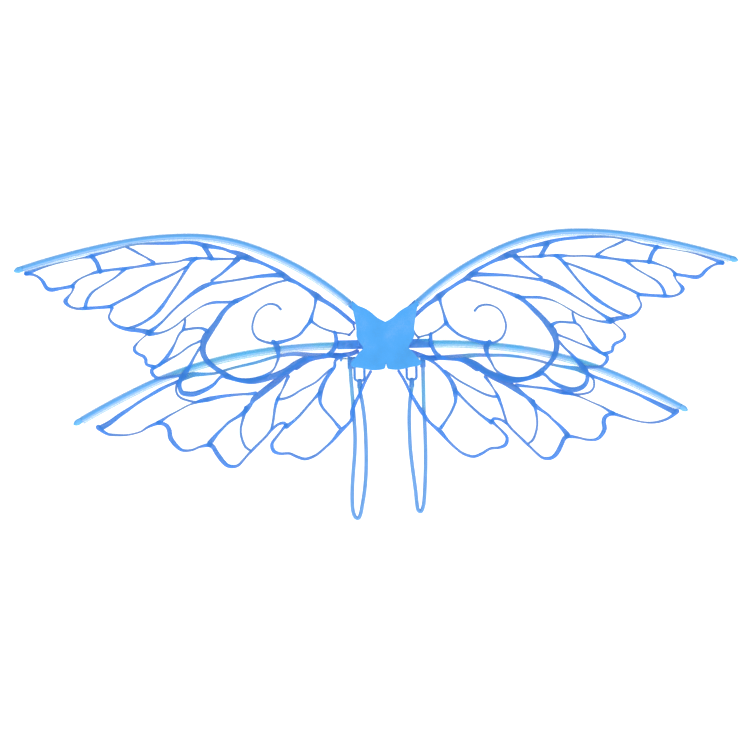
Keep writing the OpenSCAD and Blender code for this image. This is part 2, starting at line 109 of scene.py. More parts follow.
# Printed veins as X, Z and width along each line
UPPER_VEINS = [
    [(36, 27, 5), (51, 40, 5.5), (60, 46, 6), (67, 51, 8.5), (75, 57, 5.5), (83, 62, 4.8), (91, 67, 5),
     (99, 71, 6.5), (106, 76, 8), (112, 81, 6), (120, 85.5, 4.8), (129, 90, 4.6), (138, 94, 5.5),
     (146, 97, 8), (154, 100.5, 8.5), (162, 104, 6.5), (170, 106, 4.5), (178, 109, 4.2), (193, 112, 6),
     (199, 113, 7), (209, 116, 5), (222, 118, 4.4), (235, 119, 4.4), (252, 120, 4.2), (268, 120, 3.4),
     (281, 119, 2.4), (298, 116, 2.8), (315, 111, 2.6), (330, 108, 4), (337, 106, 4.8), (345, 105, 2.4),
     (357, 103, 1.6), (377, 99, 1.8), (394, 94, 3), (408, 89, 4.4), (416, 86, 6)],
    [(150, 99, 6.5), (158, 97.5, 3.4), (173, 97, 3.2), (189, 97, 4.2), (193, 97.5, 5), (200, 98, 3.4),
     (207, 98, 4.2), (216, 97.5, 5.5), (224, 97.5, 3.2), (231, 97, 2.6), (245, 97, 2.6), (258, 96, 3.6),
     (265, 95.5, 5), (281, 93, 3.4), (298, 90.5, 4.6), (311, 90, 3.6), (328, 88, 4.6), (339, 84.5, 2.6),
     (351, 79.5, 2.8), (357, 73.5, 5.2)],
    [(200, 112, 7), (196, 105, 6), (192, 98, 6.6)],
    [(296, 115.5, 3.4), (284, 110, 3.6), (271, 104.5, 2.6), (261, 98, 4.6)],
    [(335, 106.5, 6), (329, 99, 5.6), (325, 88.5, 6.2)],
    [(108, 76.5, 7), (118, 76.5, 5.8), (130, 76, 5), (150, 75, 3.6), (169, 72.5, 3.2), (184, 70, 4),
     (193, 68.5, 5), (203, 65, 6.4), (217, 58, 5.4), (232, 48.5, 3.4), (248, 38, 3.2), (262, 28, 3.6),
     (270, 22.5, 5), (276, 18, 8)],
    [(161, 97, 8), (166, 92, 5.6), (174, 85, 4.4), (182, 78.5, 3.8), (192, 72, 4)],
    [(210, 98, 5), (216, 93.5, 4.6), (221, 88, 5), (229, 77.5, 3.6), (239, 65, 3.6), (251, 51.5, 4.4),
     (259, 44.5, 5.4), (268, 38, 4.4), (279, 31.5, 3.8), (289, 26.5, 4), (298, 23.5, 3)],
    [(221, 89, 4), (228, 87, 3.2), (240, 82.5, 3.6), (252, 77.5, 4), (268, 71, 3.8), (284, 63, 4.2),
     (300, 55.5, 3.8), (312, 49, 5)],
    [(297, 90, 4.6), (308, 81, 2.8), (321, 73, 2.4), (334, 65, 3.4), (341, 56.5, 4.4), (344, 47.5, 4.8)],
    [(161, 48.5, 4.4), (176, 48, 3.8), (189, 47.5, 4), (203, 44.5, 2.8), (215, 39, 1.8), (229, 30.5, 2.4),
     (239, 24.5, 2.4), (252, 20, 2.6), (265, 17, 3.4), (276, 16.5, 6)],
    [(99, 71, 3), (115, 67.5, 3.2), (130, 62, 3.2), (146, 56, 3.6), (158, 51, 5.5), (164, 48.5, 6.6),
     (173, 41.5, 5.6), (184, 31, 6.8), (193, 21.5, 7.2), (201, 11.5, 9), (205, 6, 10), (208, -2, 8),
     (209, -13, 7.4), (205, -25, 6.6), (197, -35, 6), (190, -41, 7), (182, -46, 6), (172, -50, 5.8),
     (158, -51, 7), (144, -47, 6), (134, -39, 2.8), (129, -30, 3), (124, -20, 5), (123, -11, 7.5),
     (127, -5, 6)],
    [(75, 19, 6.2), (79, 14, 4.4), (90, 4.5, 3.8), (103, -1, 3.8), (113, -4, 4.4), (122, -6, 5.4),
     (132, -6, 3.6), (142, -0.5, 3.2), (147, 9, 2.9), (147, 19, 2.8), (142, 31, 2.6), (134, 37.5, 2.4),
     (124, 40, 3), (115, 38, 3.2), (110, 33, 3.4)],
    [(67, 51, 6), (69, 42, 3.8), (72, 31, 3.4), (75, 19, 6)],
    [(75, 19, 4.6), (66, 11.5, 2.8), (56, 6, 3.2), (48, 4, 2.4), (41, 2, 3)],
    [(56, 6, 4.6), (56, -5, 5.4), (60, -15, 5.4), (66, -22, 7)],
    [(36, 24, 3), (34.5, 15, 2.4), (37, 7, 2.6), (41, 2, 3.6)],
    [(203, 13.5, 6), (208, 16.5, 4), (215, 17.5, 3.4), (227, 16.5, 3.4), (232, 16, 3.6), (238, 12, 3),
     (244, 3, 2.8), (250, -6, 4.6), (256, -14, 5), (262, -20, 5)],
    [(229, 28.5, 3), (230, 23, 3.8), (232, 17, 4.4)],
    [(211, 2, 4), (216, 0, 3), (225, -3.5, 2.8), (241, -10.5, 2.6), (252, -15, 3.4), (268, -23, 5)],
    [(212, -6, 4), (218, -13, 3.4), (227, -22, 4), (236, -32, 6), (241, -38.5, 8)],
    [(66, -22, 6), (75, -24, 4), (83, -25, 3.8), (92, -25.5, 5), (99, -27, 7.5), (110, -32, 8),
     (121, -40, 8.5), (134, -46, 8), (146, -50, 8), (158, -52, 7), (172, -50, 6), (180, -48, 5.5),
     (186, -45, 8), (191, -44.5, 5), (196, -48, 3.8), (202, -54, 4.5), (214, -61, 6), (227, -65, 6.8),
     (239, -62, 6.4), (245, -55, 5.6), (246, -46, 5.6), (242, -39, 8)],
    [(242, -39, 6), (246, -38, 4), (258, -38, 3.4), (265, -36, 3.8), (270, -31, 5), (271, -26, 4.8),
     (268, -22, 5)],
    [(268, -22, 5), (277, -19, 4.2), (278, -14, 4.6), (281, -10, 4.4), (287, -7.5, 4), (292, -4, 4.4),
     (293, 1, 4), (289, 7, 2.4), (283, 12.5, 1.8), (276, 18, 3)],
    [(276, 18, 8), (285, 20.5, 6), (297, 22, 5.6), (304, 24.5, 4.8), (310, 29, 3.8), (314, 36, 3.2),
     (312, 42, 2.8), (310, 47, 4.6)],
    [(312, 49, 5), (329, 47.5, 4.2), (344, 46.5, 4.8), (354, 46.5, 3.4), (362, 49.5, 3.8), (366, 55, 6),
     (363, 60, 4), (358, 66, 2.2), (356, 72, 4.5)],
    [(357, 73, 5), (369, 71, 4.2), (382, 69, 5.6), (389, 71, 5.2), (395, 77, 4.8), (403, 82.5, 3.4),
     (410, 85, 4), (416, 86, 6)],
]
LOWER_VEINS = [
    [(33, -15, 6), (43, -19, 6), (52, -22.5, 6.5), (60, -23, 7.5), (70, -22.5, 5.5), (79, -22, 5.5),
     (92, -21.5, 5.5), (103, -21, 6), (114, -20.5, 5), (126, -21, 4.6), (146, -21.5, 4.2), (166, -24, 3.8),
     (185, -28, 3.4), (205, -34, 3.6), (222, -37.5, 4.6), (234, -39.5, 6.5), (242, -42.5, 7.5),
     (252, -48, 4.6), (264, -53, 4.2), (276, -58, 4.8), (288, -63, 4.4), (300, -68, 4.2), (311, -73, 4),
     (320, -77.5, 5), (339, -87, 6.4), (353, -94, 7.5)],
    [(49, -21.5, 6), (57, -26.5, 4.4), (63, -31, 4), (71, -39, 4.6), (79, -49, 5.4), (84, -60, 7),
     (85, -67, 6), (85, -76, 4.2), (80, -88, 3.6), (73, -99, 3.6), (67, -107, 5)],
    [(85, -63, 6), (92, -70, 3.6), (99, -77.5, 3.5), (112, -90, 3.6), (122, -98, 4.4), (128, -102, 6.5)],
    [(73, -39, 4), (80, -43.5, 3), (90, -51, 2.8), (105, -59.5, 2.8), (120, -67.5, 3.2), (131, -71, 3.6),
     (137, -71, 4.4)],
    [(110, -34, 5), (122, -41.5, 7), (134, -48, 8.5), (146, -54, 8.6), (159, -62.5, 8), (166, -68, 6.4),
     (172, -72.5, 5), (178, -78, 7), (182, -83, 6.4), (190, -89, 4.2), (197, -94, 3.8), (204, -101, 3.6),
     (211, -107.5, 4.4), (216, -113, 5.6), (221, -119, 7)],
    [(122, -47, 4.6), (127, -54, 3.4), (132, -62, 2.4), (137, -71, 4.6), (141, -82, 3.8), (144, -92, 3.4),
     (147, -103, 3.6)],
    [(55, -23, 7), (67, -24, 3.8), (83, -25, 4), (92, -26, 5), (101, -29, 7.5), (112, -36.5, 8)],
    [(180, -78, 5.5), (183, -90, 3.8), (184.5, -103, 3), (183, -114, 3.2), (179, -124, 3.4), (173, -129, 3)],
    [(160, -58, 5), (172, -59.5, 3.6), (183, -61, 3.4), (194, -62.5, 4), (205, -65, 5), (216, -67.5, 6.4),
     (226, -69.5, 4.8), (238, -74, 2.4), (252, -80.5, 2.1), (264, -86, 2.8), (272, -91, 4), (278, -95, 6)],
    [(216, -68.5, 4), (228, -70.5, 3.2), (240, -70.5, 3), (250, -68, 3), (255, -62, 2.8), (255, -54, 3),
     (252, -49, 4)],
    [(17, -38, 4), (24, -50, 4), (32, -67, 4.4), (41, -83, 5.5), (45, -89, 6), (51, -98, 4.4),
     (58, -105, 4.4), (66, -112, 6), (75, -123, 4), (84, -132, 3.4), (93, -139, 3.6), (105, -143, 4),
     (115, -140, 4), (126, -134, 3.6), (137, -133, 3.8), (145, -129.5, 5), (147, -121, 4.4),
     (141, -113, 3.6), (135, -107, 3.4), (129, -101, 5)],
    [(129, -101, 5), (131, -98, 4.4), (139, -99, 3.6), (147, -104, 4), (153, -111, 3.4), (160, -118, 3.4),
     (171, -129, 4), (176, -134, 3.2), (183, -141, 3.4), (191, -147, 4), (201, -147, 5), (208, -141, 6),
     (213, -132, 6), (217, -124, 6), (221, -121, 7)],
    [(221, -121, 6), (233, -123, 3.4), (245, -126, 3.2), (256, -126, 4), (263, -121, 5.4),
     (267, -113, 6.2), (266, -105, 6), (268, -99, 5.6), (273, -96, 5), (278, -95, 6)],
    [(278, -95, 5), (290, -99, 3.6), (305, -104, 2.4), (320, -107, 2.6), (333, -106.5, 3.4),
     (345, -103, 3.8), (353, -98, 5), (357, -94, 7)],
]
# How the print of a left wing differs from its right one: X and Z, then how far it moves outwards and up
PRINT_SHIFTS = {
    "upper": [
        (36, 27, 0.5, -7), (41, 2, 1, 5), (75, 19, 13, 5.8), (67, 51, 13.5, 2.9), (108, 76, 13, 2.9),
        (110, 33, 13.5, 5.8), (147, 14, 9.9, 3.6), (122, -6, 5.8, 5), (161, 48, 14, 0),
        (196, 98, 12.4, 2.9), (205, 8, 8, 0.7), (172, -50, 3, 5.5), (110, -32, -3, 5), (66, -22, 0, 6),
        (225, -64, 2.9, 5), (246, -46, -1.5, 0), (269, -26, 6.5, -5), (279, 13, 3.4, -4.4),
        (314, 45, 12.4, -3.6), (349, 43, 9.5, -2.9), (362, 70, 10.9, -2.9), (420, 85, 5.2, 0),
        (303, 112, 8, 0), (332, 83, 10.4, -1.4), (264, 93, 11.5, -1.1),
    ],
    "lower": [
        (33, -15, 0, 1.5), (17, -38, 0, 0), (32, -67, 0, 0), (60, -23, 0, 5.5), (73, -39, -10, 5.5),
        (84, -60, -6.7, 1), (67, -107, -11, 3.3), (99, -141, -7.8, 2.2), (148, -126, -10, -1),
        (130, -100, -8.9, 1), (147, -103, -10, -1), (137, -71, -7.8, 2.9), (173, -129, -10, 0),
        (201, -147, -12.2, 0), (180, -78, -13.3, 0), (221, -121, -10, 0), (256, -126, -13.3, -1),
        (275, -97, -6.7, 1.5), (320, -107, -12.2, 0), (357, -94, -15.5, -3.3), (254, -54, -6, 4),
        (216, -68, -4.4, 0.7), (160, -58, -4.4, -3), (114, -37, -6, 6), (185, -28, 0, -3),
    ],
}
SHIFT_BLEND = 12.0
WINGS = {
    "upper": {
        "start": UPPER_START, "arcs": UPPER_ARCS, "veins": UPPER_VEINS, "depth": 14.6,
    },
    "lower": {
        "start": LOWER_START, "arcs": LOWER_ARCS, "veins": LOWER_VEINS, "depth": 8.5,
    },
}

# ---- Back pad, in millimetres ----

PAD_CORNER = 8
PAD_BOW = 0.35
SEAM_IN = 2.8
SEAM_DEPTH = 0.215
THREAD_RADIUS = 0.32

# Each row is how far in from the outline, and the depth from the wearer's face as a share
PAD_ROWS = [
    (15.0, 1.0), (8.0, 1.0), (1.2, 1.0), (0.35, 0.93), (0.0, 0.78), (0.15, 0.6), (0.0, 0.44),
    (0.25, 0.3), (0.8, 0.2), (1.6, 0.17), (2.2, 0.21), (2.8, 0.235), (3.4, 0.2), (4.2, 0.13),
    (5.6, 0.07), (7.5, 0.03), (9.5, 0.01), (11.5, 0.0), (13.5, 0.0), (15.0, 0.0),
]
PAD_INSET = 15

# ---- Studio, in metres and degrees; the camera's lens is in millimetres ----

LENS = 72
SENSOR_WIDTH = 36
VIEW_LIMIT = 50
CAMERA_TARGET = (-0.012, -0.012, -0.042)
CAMERA_DISTANCE = 1.8
CAMERA_AZIMUTH = -4.5
CAMERA_ROLL = -1.2
LIGHT_TARGET = (0.0, -0.01, -0.04)
SKY_STRENGTH = 0.58
FLOOR_GLOW = 0.6
FLOOR_HEIGHT = -0.9
FLOOR_FRONT = -4.0
FLOOR_SIDE = 6.0
WALL_START = 2.6
WALL_ROUND = 1.4
WALL_TOP = 3.5
WALL_STEPS = 12


# ---- Sizes and colours ----


class WingSizes(bpy.types.PropertyGroup):
    """Sizes of the visible pieces"""

    film_thickness: bpy.props.FloatProperty(
        name="Film thickness",
        description="Thickness of the clear film",
        default=0.00015,
        subtype="DISTANCE",
        unit="LENGTH",
    )
    film_wave: bpy.props.FloatProperty(
        name="Film wave",
        description="How far the film stands out of its plane between the rod and the free edge",
        default=0.0009,
        subtype="DISTANCE",
        unit="LENGTH",
    )
    film_grid: bpy.props.FloatProperty(
        name="Film grid",
        description="Spacing of the film's mesh",
        default=0.0036,
        subtype="DISTANCE",
        unit="LENGTH",
    )
    vein_relief: bpy.props.FloatProperty(
        name="Vein relief",
        description="Height of a printed vein as a share of its width",
        default=0.09,
        min=0.02,
        max=1.0,
    )
    rod_diameter: bpy.props.FloatProperty(
        name="Rod diameter",
        description="Diameter of the bent wing rods",
        default=0.006,
        subtype="DISTANCE",
        unit="LENGTH",
    )
    sleeve_diameter: bpy.props.FloatProperty(
        name="Sleeve diameter",
        description="Outer diameter of the film pocket round a rod",
        default=0.0083,
        subtype="DISTANCE",
        unit="LENGTH",
    )
    cord_diameter: bpy.props.FloatProperty(
        name="Strap diameter",
        description="Diameter of the elastic shoulder cord",
        default=0.0048,
        subtype="DISTANCE",
        unit="LENGTH",
    )
    cover_round: bpy.props.FloatProperty(
        name="Cover edge",
        description="Rounding of the cut edge of the foam cover",
        default=0.0009,
        subtype="DISTANCE",
        unit="LENGTH",
    )
    stitch_length: bpy.props.FloatProperty(
        name="Stitch length",
        description="Spacing of the stitches round the back pad",
        default=0.0032,
        subtype="DISTANCE",
        unit="LENGTH",
    )


def colour_property(label, words, value):
    return bpy.props.FloatVectorProperty(
        name=label, description=words, default=value, size=3, min=0.0, max=1.0, subtype="COLOR"
    )


class WingColours(bpy.types.PropertyGroup):
    """Colours of the finishes"""

    foam: colour_property("Foam", "Butterfly cover", (0.055, 0.355, 0.85))
    film: colour_property("Film", "Clear wing film", (0.10, 0.86, 0.84))
    ink: colour_property("Ink", "Printed veins", (0.028, 0.255, 0.88))
    fine_ink: colour_property("Fine ink", "The thinnest printed veins", (0.105, 0.215, 0.52))
    rod: colour_property("Rod", "Bent wing rods", (0.110, 0.445, 0.90))
    sleeve: colour_property("Sleeve", "Film pockets on the rods", (0.16, 0.52, 0.93))
    fitting: colour_property("Fitting", "Strap links and clips", (0.025, 0.225, 0.86))
    arm: colour_property("Arm", "Hinged arms", (0.050, 0.330, 0.93))
    shell: colour_property("Shell", "Moulded hub", (0.16, 0.46, 0.90))
    elastic: colour_property("Elastic", "Shoulder cords", (0.055, 0.315, 0.80))
    pad: colour_property("Pad", "Back pad cloth", (0.30, 0.60, 0.93))


# ---- Lines ----


def arc_centre(point, arc):
    slope = math.radians(arc[0])
    return point[0] + arc[2] * math.sin(slope), point[1] - arc[2] * math.cos(slope)


def arc_point(centre, radius, slope):
    return centre[0] - radius * math.sin(slope), centre[1] + radius * math.cos(slope)


def rod_line(wing, from_root, before_tip, step=3.0):
    """Centre points of a wing's rod in X and Z, in millimetres, shortened at the root and at the tip.

    A negative length at the root adds a straight tail there.
    """
    point = wing["start"]
    points = []
    last = len(wing["arcs"]) - 1
    for number, arc in enumerate(wing["arcs"]):
        centre = arc_centre(point, arc)
        first = math.radians(arc[0]) - (max(from_root, 0) / arc[2] if number == 0 else 0)
        final = math.radians(arc[1]) + (before_tip / arc[2] if number == last else 0)
        count = max(2, round((first - final) * arc[2] / step))
        for k in range(0 if number == 0 else 1, count + 1):
            points.append(arc_point(centre, arc[2], first + (final - first) * k / count))
        point = arc_point(centre, arc[2], math.radians(arc[1]))
    slope = math.radians(wing["arcs"][0][0])
    tail = [
        (wing["start"][0] - back * math.cos(slope), wing["start"][1] - back * math.sin(slope))
        for back in np.linspace(max(-from_root, 0), 3, 6)
        if from_root < 0
    ]
    return np.array(tail + points)


def smooth_line(points, step):
    """A smooth curve through rows of numbers, with points about a step apart along X and Z."""
    rows = np.array(points, float)
    made = []
    for k in range(len(rows) - 1):
        a = rows[max(k - 1, 0)]
        b = rows[k]
        c = rows[k + 1]
        d = rows[min(k + 2, len(rows) - 1)]
        count = max(1, round(float(np.linalg.norm(c[:2] - b[:2])) / step))
        for i in range(count):
            t = i / count
            made.append(
                0.5 * (2 * b + (c - a) * t + (2 * a - 5 * b + 4 * c - d) * t * t
                       + (3 * b - a - 3 * c + d) * t ** 3)
            )
    made.append(rows[-1])
    return np.array(made)


def rounded_ends(rows):
    """Adds shrinking widths past both ends of a line of X, Z and width, so that it ends round."""
    ends = []
    for end, inner in ((rows[0], rows[1]), (rows[-1], rows[-2])):
        away = end[:2] - inner[:2]
        away = away / max(float(np.linalg.norm(away)), 1e-9)
        half = end[2] / 2
        ends.append([
            np.append(end[:2] + away * half * t, max(0.15, 2 * half * math.sqrt(max(0.0, 1 - t * t))))
            for t in (0.45, 0.75, 0.93, 1.0)
        ])
    return np.vstack([np.array(ends[0][::-1]), rows, np.array(ends[1])])


def left_print(level, rows):
    """A line of the right wing's print as it lies on the left wing, from the weighted shifts near it."""
    table = np.array(PRINT_SHIFTS[level], float)
    apart = ((rows[:, None, :2] - table[None, :, :2]) ** 2).sum(axis=-1)
    weights = (apart + SHIFT_BLEND ** 2) ** -2.0
    moved = rows.copy()
    moved[:, :2] += (weights @ table[:, 2:]) / weights.sum(axis=1)[:, None]
    return moved


def film_wave(side, rods, x, z):
    """How far the film stands out of its plane at points in millimetres, in metres, from 0 at the rod."""
    height = bpy.context.scene.wing_sizes.film_wave
    spots = np.stack([np.abs(x), z], axis=-1)
    reach = np.full(len(spots), 1e9)
    batch = 4000
    for start in range(0, len(spots), batch):
        part = spots[start:start + batch]
        reach[start:start + batch] = np.linalg.norm(part[:, None, :] - rods[None, :, :], axis=-1).min(axis=1)
    free = np.clip((reach - WAVE_START) / WAVE_REACH, 0, 1)
    free = free * free * (3 - 2 * free)
    off = spots - np.array(WAVE_CENTRE, float)
    away = np.hypot(off[:, 0], off[:, 1])
    turn = np.arctan2(off[:, 1], off[:, 0])
    wave = (
        0.55 * np.sin(turn * 11 + 0.9 * side + away / 90)
        + 0.30 * np.sin(turn * 23 - away / 41 + 1.7 * side)
        + 0.15 * np.sin(away / 17 + turn * 5 + side)
    )
    return height * free * wave


# ---- Meshes ----


def new_piece(name, mesh, finish):
    """A piece from a mesh already in place, with its finish in its one material slot."""
    piece = bpy.data.objects.new(name, mesh)
    bpy.context.scene.collection.objects.link(piece)
    mesh.materials.clear()
    mesh.materials.append(finish)
    return piece


def mesh_of(name, points, faces):
    mesh = bpy.data.meshes.new(name)
    mesh.from_pydata([tuple(p) for p in points], [], faces)
    mesh.validate()
    mesh.polygons.foreach_set("use_smooth", [True] * len(mesh.polygons))
    mesh.update()
    return mesh


def line_frames(points):
    """The directions across a line that lies in one upright plane: in that plane, and in depth."""
    along = np.gradient(points, axis=0)
    along = along / np.linalg.norm(along, axis=1)[:, None]
    depth = np.tile(np.array([0.0, 1.0, 0.0]), (len(points), 1))
    return np.cross(depth, along), depth


def tube_mesh(name, points, profile):
    """A closed tube through points, in metres. A profile's rows are its offsets across and in depth.

    The tube gets a UV map: metres along the line, and the turn round it from 0 to 1.
    """
    points = np.array(points)
    shape = np.array(profile)
    across, depth = line_frames(points)
    count = len(shape)
    rings = (
        points[:, None, :]
        + shape[None, :, 0, None] * across[:, None, :]
        + shape[None, :, 1, None] * depth[:, None, :]
    )
    vertices = list(rings.reshape(-1, 3)) + [points[0], points[-1]]
    faces = []
    for k in range(len(points) - 1):
        for i in range(count):
            j = (i + 1) % count
            faces.append((k * count + i, k * count + j, (k + 1) * count + j, (k + 1) * count + i))
    first = len(points) * count
    last = first - count
    for i in range(count):
        j = (i + 1) % count
        faces.append((first, j, i))
        faces.append((first + 1, last + i, last + j))
    mesh = mesh_of(name, vertices, faces)
    length = np.concatenate([[0], np.cumsum(np.linalg.norm(np.diff(points, axis=0), axis=1))])
    layer = mesh.uv_layers.new(name="along")
    for polygon in mesh.polygons:
        corners = [mesh.loops[k].vertex_index for k in polygon.loop_indices]
        turns = [c % count for c in corners if c < first]
        wraps = max(turns) - min(turns) > count / 2
        for k, c in zip(polygon.loop_indices, corners):
            if c >= first:
                layer.data[k].uv = (length[0 if c == first else -1], 0.5)
                continue
            turn = c % count
            turn = turn + count if wraps and turn < count / 2 else turn
            layer.data[k].uv = (length[c // count], turn / count)
    outwards(mesh)
    return mesh


def outwards(mesh):
    """Turns every face of a closed mesh to face out."""
    work = bmesh.new()
    work.from_mesh(mesh)
    bmesh.ops.recalc_face_normals(work, faces=work.faces)
    work.to_mesh(mesh)
    work.free()


def circle_profile(radius, count):
    return [
        (radius * math.cos(2 * math.pi * k / count), radius * math.sin(2 * math.pi * k / count))
        for k in range(count)
    ]


def cad_outline(node):
    """The outline of a CAD slab's front face in X and Z, in order, in millimetres."""
    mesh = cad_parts[node].data
    points = np.array([v.co for v in mesh.vertices]) / MM
    front = points[:, 1].min()
    keys = {}
    for number, p in enumerate(points):
        if p[1] < front + 0.01:
            keys[number] = (round(p[0], 2), round(p[2], 2))
    uses = {}
    for polygon in mesh.polygons:
        corners = list(polygon.vertices)
        if all(c in keys for c in corners):
            for a, b in zip(corners, corners[1:] + corners[:1]):
                pair = frozenset((keys[a], keys[b]))
                if len(pair) == 2:
                    uses[pair] = uses.get(pair, 0) + 1
    near = {}
    for pair, count in uses.items():
        if count == 1:
            a, b = pair
            near.setdefault(a, []).append(b)
            near.setdefault(b, []).append(a)
    start = min(near)
    line = [start]
    before = None
    here = start
    while True:
        onward = [p for p in near[here] if p != before]
        before, here = here, onward[0]
        if here == start:
            break
        line.append(here)
    area = sum(a[0] * b[1] - b[0] * a[1] for a, b in zip(line, line[1:] + line[:1]))
    return line if area > 0 else line[::-1]


def inside(line, x, z):
    """Which of the points lie inside a closed line."""
    found = np.zeros(len(x), bool)
    for (ax, az), (bx, bz) in zip(line, line[1:] + line[:1]):
        if az == bz:
            continue
        crosses = (az > z) != (bz > z)
        found ^= crosses & (x < (bx - ax) * (z - az) / (bz - az) + ax)
    return found


def filled(line, spacing):
    """Points and triangles that fill a closed line in X and Z with an even grid, facing one way."""
    edge = []
    for a, b in zip(line, line[1:] + line[:1]):
        count = max(1, round(math.dist(a, b) / spacing))
        edge += [(a[0] + (b[0] - a[0]) * k / count, a[1] + (b[1] - a[1]) * k / count) for k in range(count)]
    rim = np.array(edge)
    low = rim.min(axis=0)
    high = rim.max(axis=0)
    grid = []
    for row, z in enumerate(np.arange(low[1], high[1], spacing * 0.866)):
        for x in np.arange(low[0] + (row % 2) * spacing / 2, high[0], spacing):
            grid.append((x, z))
    grid = np.array(grid)
    grid = grid[inside(edge, grid[:, 0], grid[:, 1])]
    gap = np.linalg.norm(grid[:, None, :] - rim[None, :, :], axis=-1).min(axis=1)
    grid = grid[gap > spacing * 0.55]
    places = [Vector(p) for p in edge] + [Vector(p) for p in grid]
    made = delaunay_2d_cdt(places, [], [list(range(len(edge)))], 1, 1e-4)
    points = np.array([tuple(p) for p in made[0]])
    faces = []
    for corners in made[2]:
        a, b, c = (points[k] for k in corners[:3])
        turn = (b[0] - a[0]) * (c[1] - a[1]) - (b[1] - a[1]) * (c[0] - a[0])
        faces.append(tuple(corners) if turn > 0 else tuple(reversed(corners)))
    return points, faces


def two_sided(points, faces, front, back):
    """A closed sheet from filled points, with its front and back depths along Y for each point."""
    count = len(points)
    vertices = [(p[0] * MM, y, p[1] * MM) for p, y in zip(points, front)]
    vertices += [(p[0] * MM, y, p[1] * MM) for p, y in zip(points, back)]
    skin = [tuple(f) for f in faces] + [tuple(k + count for k in reversed(f)) for f in faces]
    sides = {}
    for f in faces:
        for a, b in zip(f, f[1:] + f[:1]):
            sides[(a, b)] = True
    for a, b in list(sides):
        if (b, a) not in sides:
            skin.append((b, a, a + count, b + count))
    return vertices, skin


def turned(name, profile, origin, direction):
    """A closed shape turned about a line.

    A profile's rows are the distance along the line and the radius, in metres.
    """
    count = 28
    axis = Vector(direction).normalized()
    turn = Vector((0, 0, 1)).rotation_difference(axis).to_matrix()
    vertices = []
    for along, radius in profile:
        for k in range(count):
            angle = 2 * math.pi * k / count
            place = turn @ Vector((radius * math.cos(angle), radius * math.sin(angle), along))
            vertices.append(Vector(origin) + place)
    faces = []
    rows = len(profile)
    for row in range(rows - 1):
        for k in range(count):
            m = (k + 1) % count
            faces.append((row * count + k, row * count + m, (row + 1) * count + m, (row + 1) * count + k))
    faces.append(tuple(range(count - 1, -1, -1)))
    faces.append(tuple((rows - 1) * count + k for k in range(count)))
    mesh = mesh_of(name, vertices, faces)
    outwards(mesh)
    return mesh


def softened(name, node, radius, finish, body):
    """A CAD piece with its moulded edges rounded, in place of the sharp one."""
    work = bmesh.new()
    work.from_mesh(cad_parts[node].data)
    bmesh.ops.remove_doubles(work, verts=work.verts, dist=2e-6)
    bmesh.ops.dissolve_limit(
        work, angle_limit=math.radians(1.5), use_dissolve_boundaries=False, verts=work.verts, edges=work.edges
    )
    mesh = bpy.data.meshes.new(name)
    work.to_mesh(mesh)
    work.free()
    piece = new_piece(name, mesh, finish)
    mesh.polygons.foreach_set("use_smooth", [True] * len(mesh.polygons))
    rounding = piece.modifiers.new("Rounded edges", "BEVEL")
    rounding.width = radius
    rounding.segments = 3
    rounding.limit_method = "ANGLE"
    rounding.angle_limit = math.radians(30)
    rounding.harden_normals = True
    baked = bpy.data.meshes.new_from_object(
        piece.evaluated_get(bpy.context.evaluated_depsgraph_get())
    )
    piece.modifiers.clear()
    piece.data = baked
    baked.name = name
    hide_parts(node)
    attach(piece, body)
    return piece


# ---- Geometry Nodes ----


def node(tree, kind, inputs=None, **settings):
    """Adds a node to a tree; inputs gives its sockets by name or number, as a link or a constant."""
    made = tree.nodes.new(kind)
    for key, value in settings.items():
        setattr(made, key, value)
    for key, value in (inputs or {}).items():
        socket = made.inputs[key]
        if isinstance(value, bpy.types.NodeSocket):
            tree.links.new(value, socket)
        else:
            socket.default_value = value
    return made


def tree_with(name, sizes):
    """A Geometry Nodes tree with a geometry input and output and the named inputs, and its two end nodes."""
    tree = bpy.data.node_groups.new(name, "GeometryNodeTree")
    tree.interface.new_socket("Geometry", in_out="INPUT", socket_type="NodeSocketGeometry")
    for label, kind in sizes:
        tree.interface.new_socket(label, in_out="INPUT", socket_type=kind)
    tree.interface.new_socket("Geometry", in_out="OUTPUT", socket_type="NodeSocketGeometry")
    return tree, tree.nodes.new("NodeGroupInput"), tree.nodes.new("NodeGroupOutput")


def finish_tree(tree, geometry, given, end):
    """The tree's last nodes: shade smooth, realise instances and set the material."""
    smooth = node(tree, "GeometryNodeSetShadeSmooth", {"Geometry": geometry})
    real = node(tree, "GeometryNodeRealizeInstances", {"Geometry": smooth.outputs[0]})
    painted = node(
        tree, "GeometryNodeSetMaterial",
        {"Geometry": real.outputs[0], "Material": given.outputs["Finish"]},
    )
    tree.links.new(painted.outputs[0], end.inputs[0])


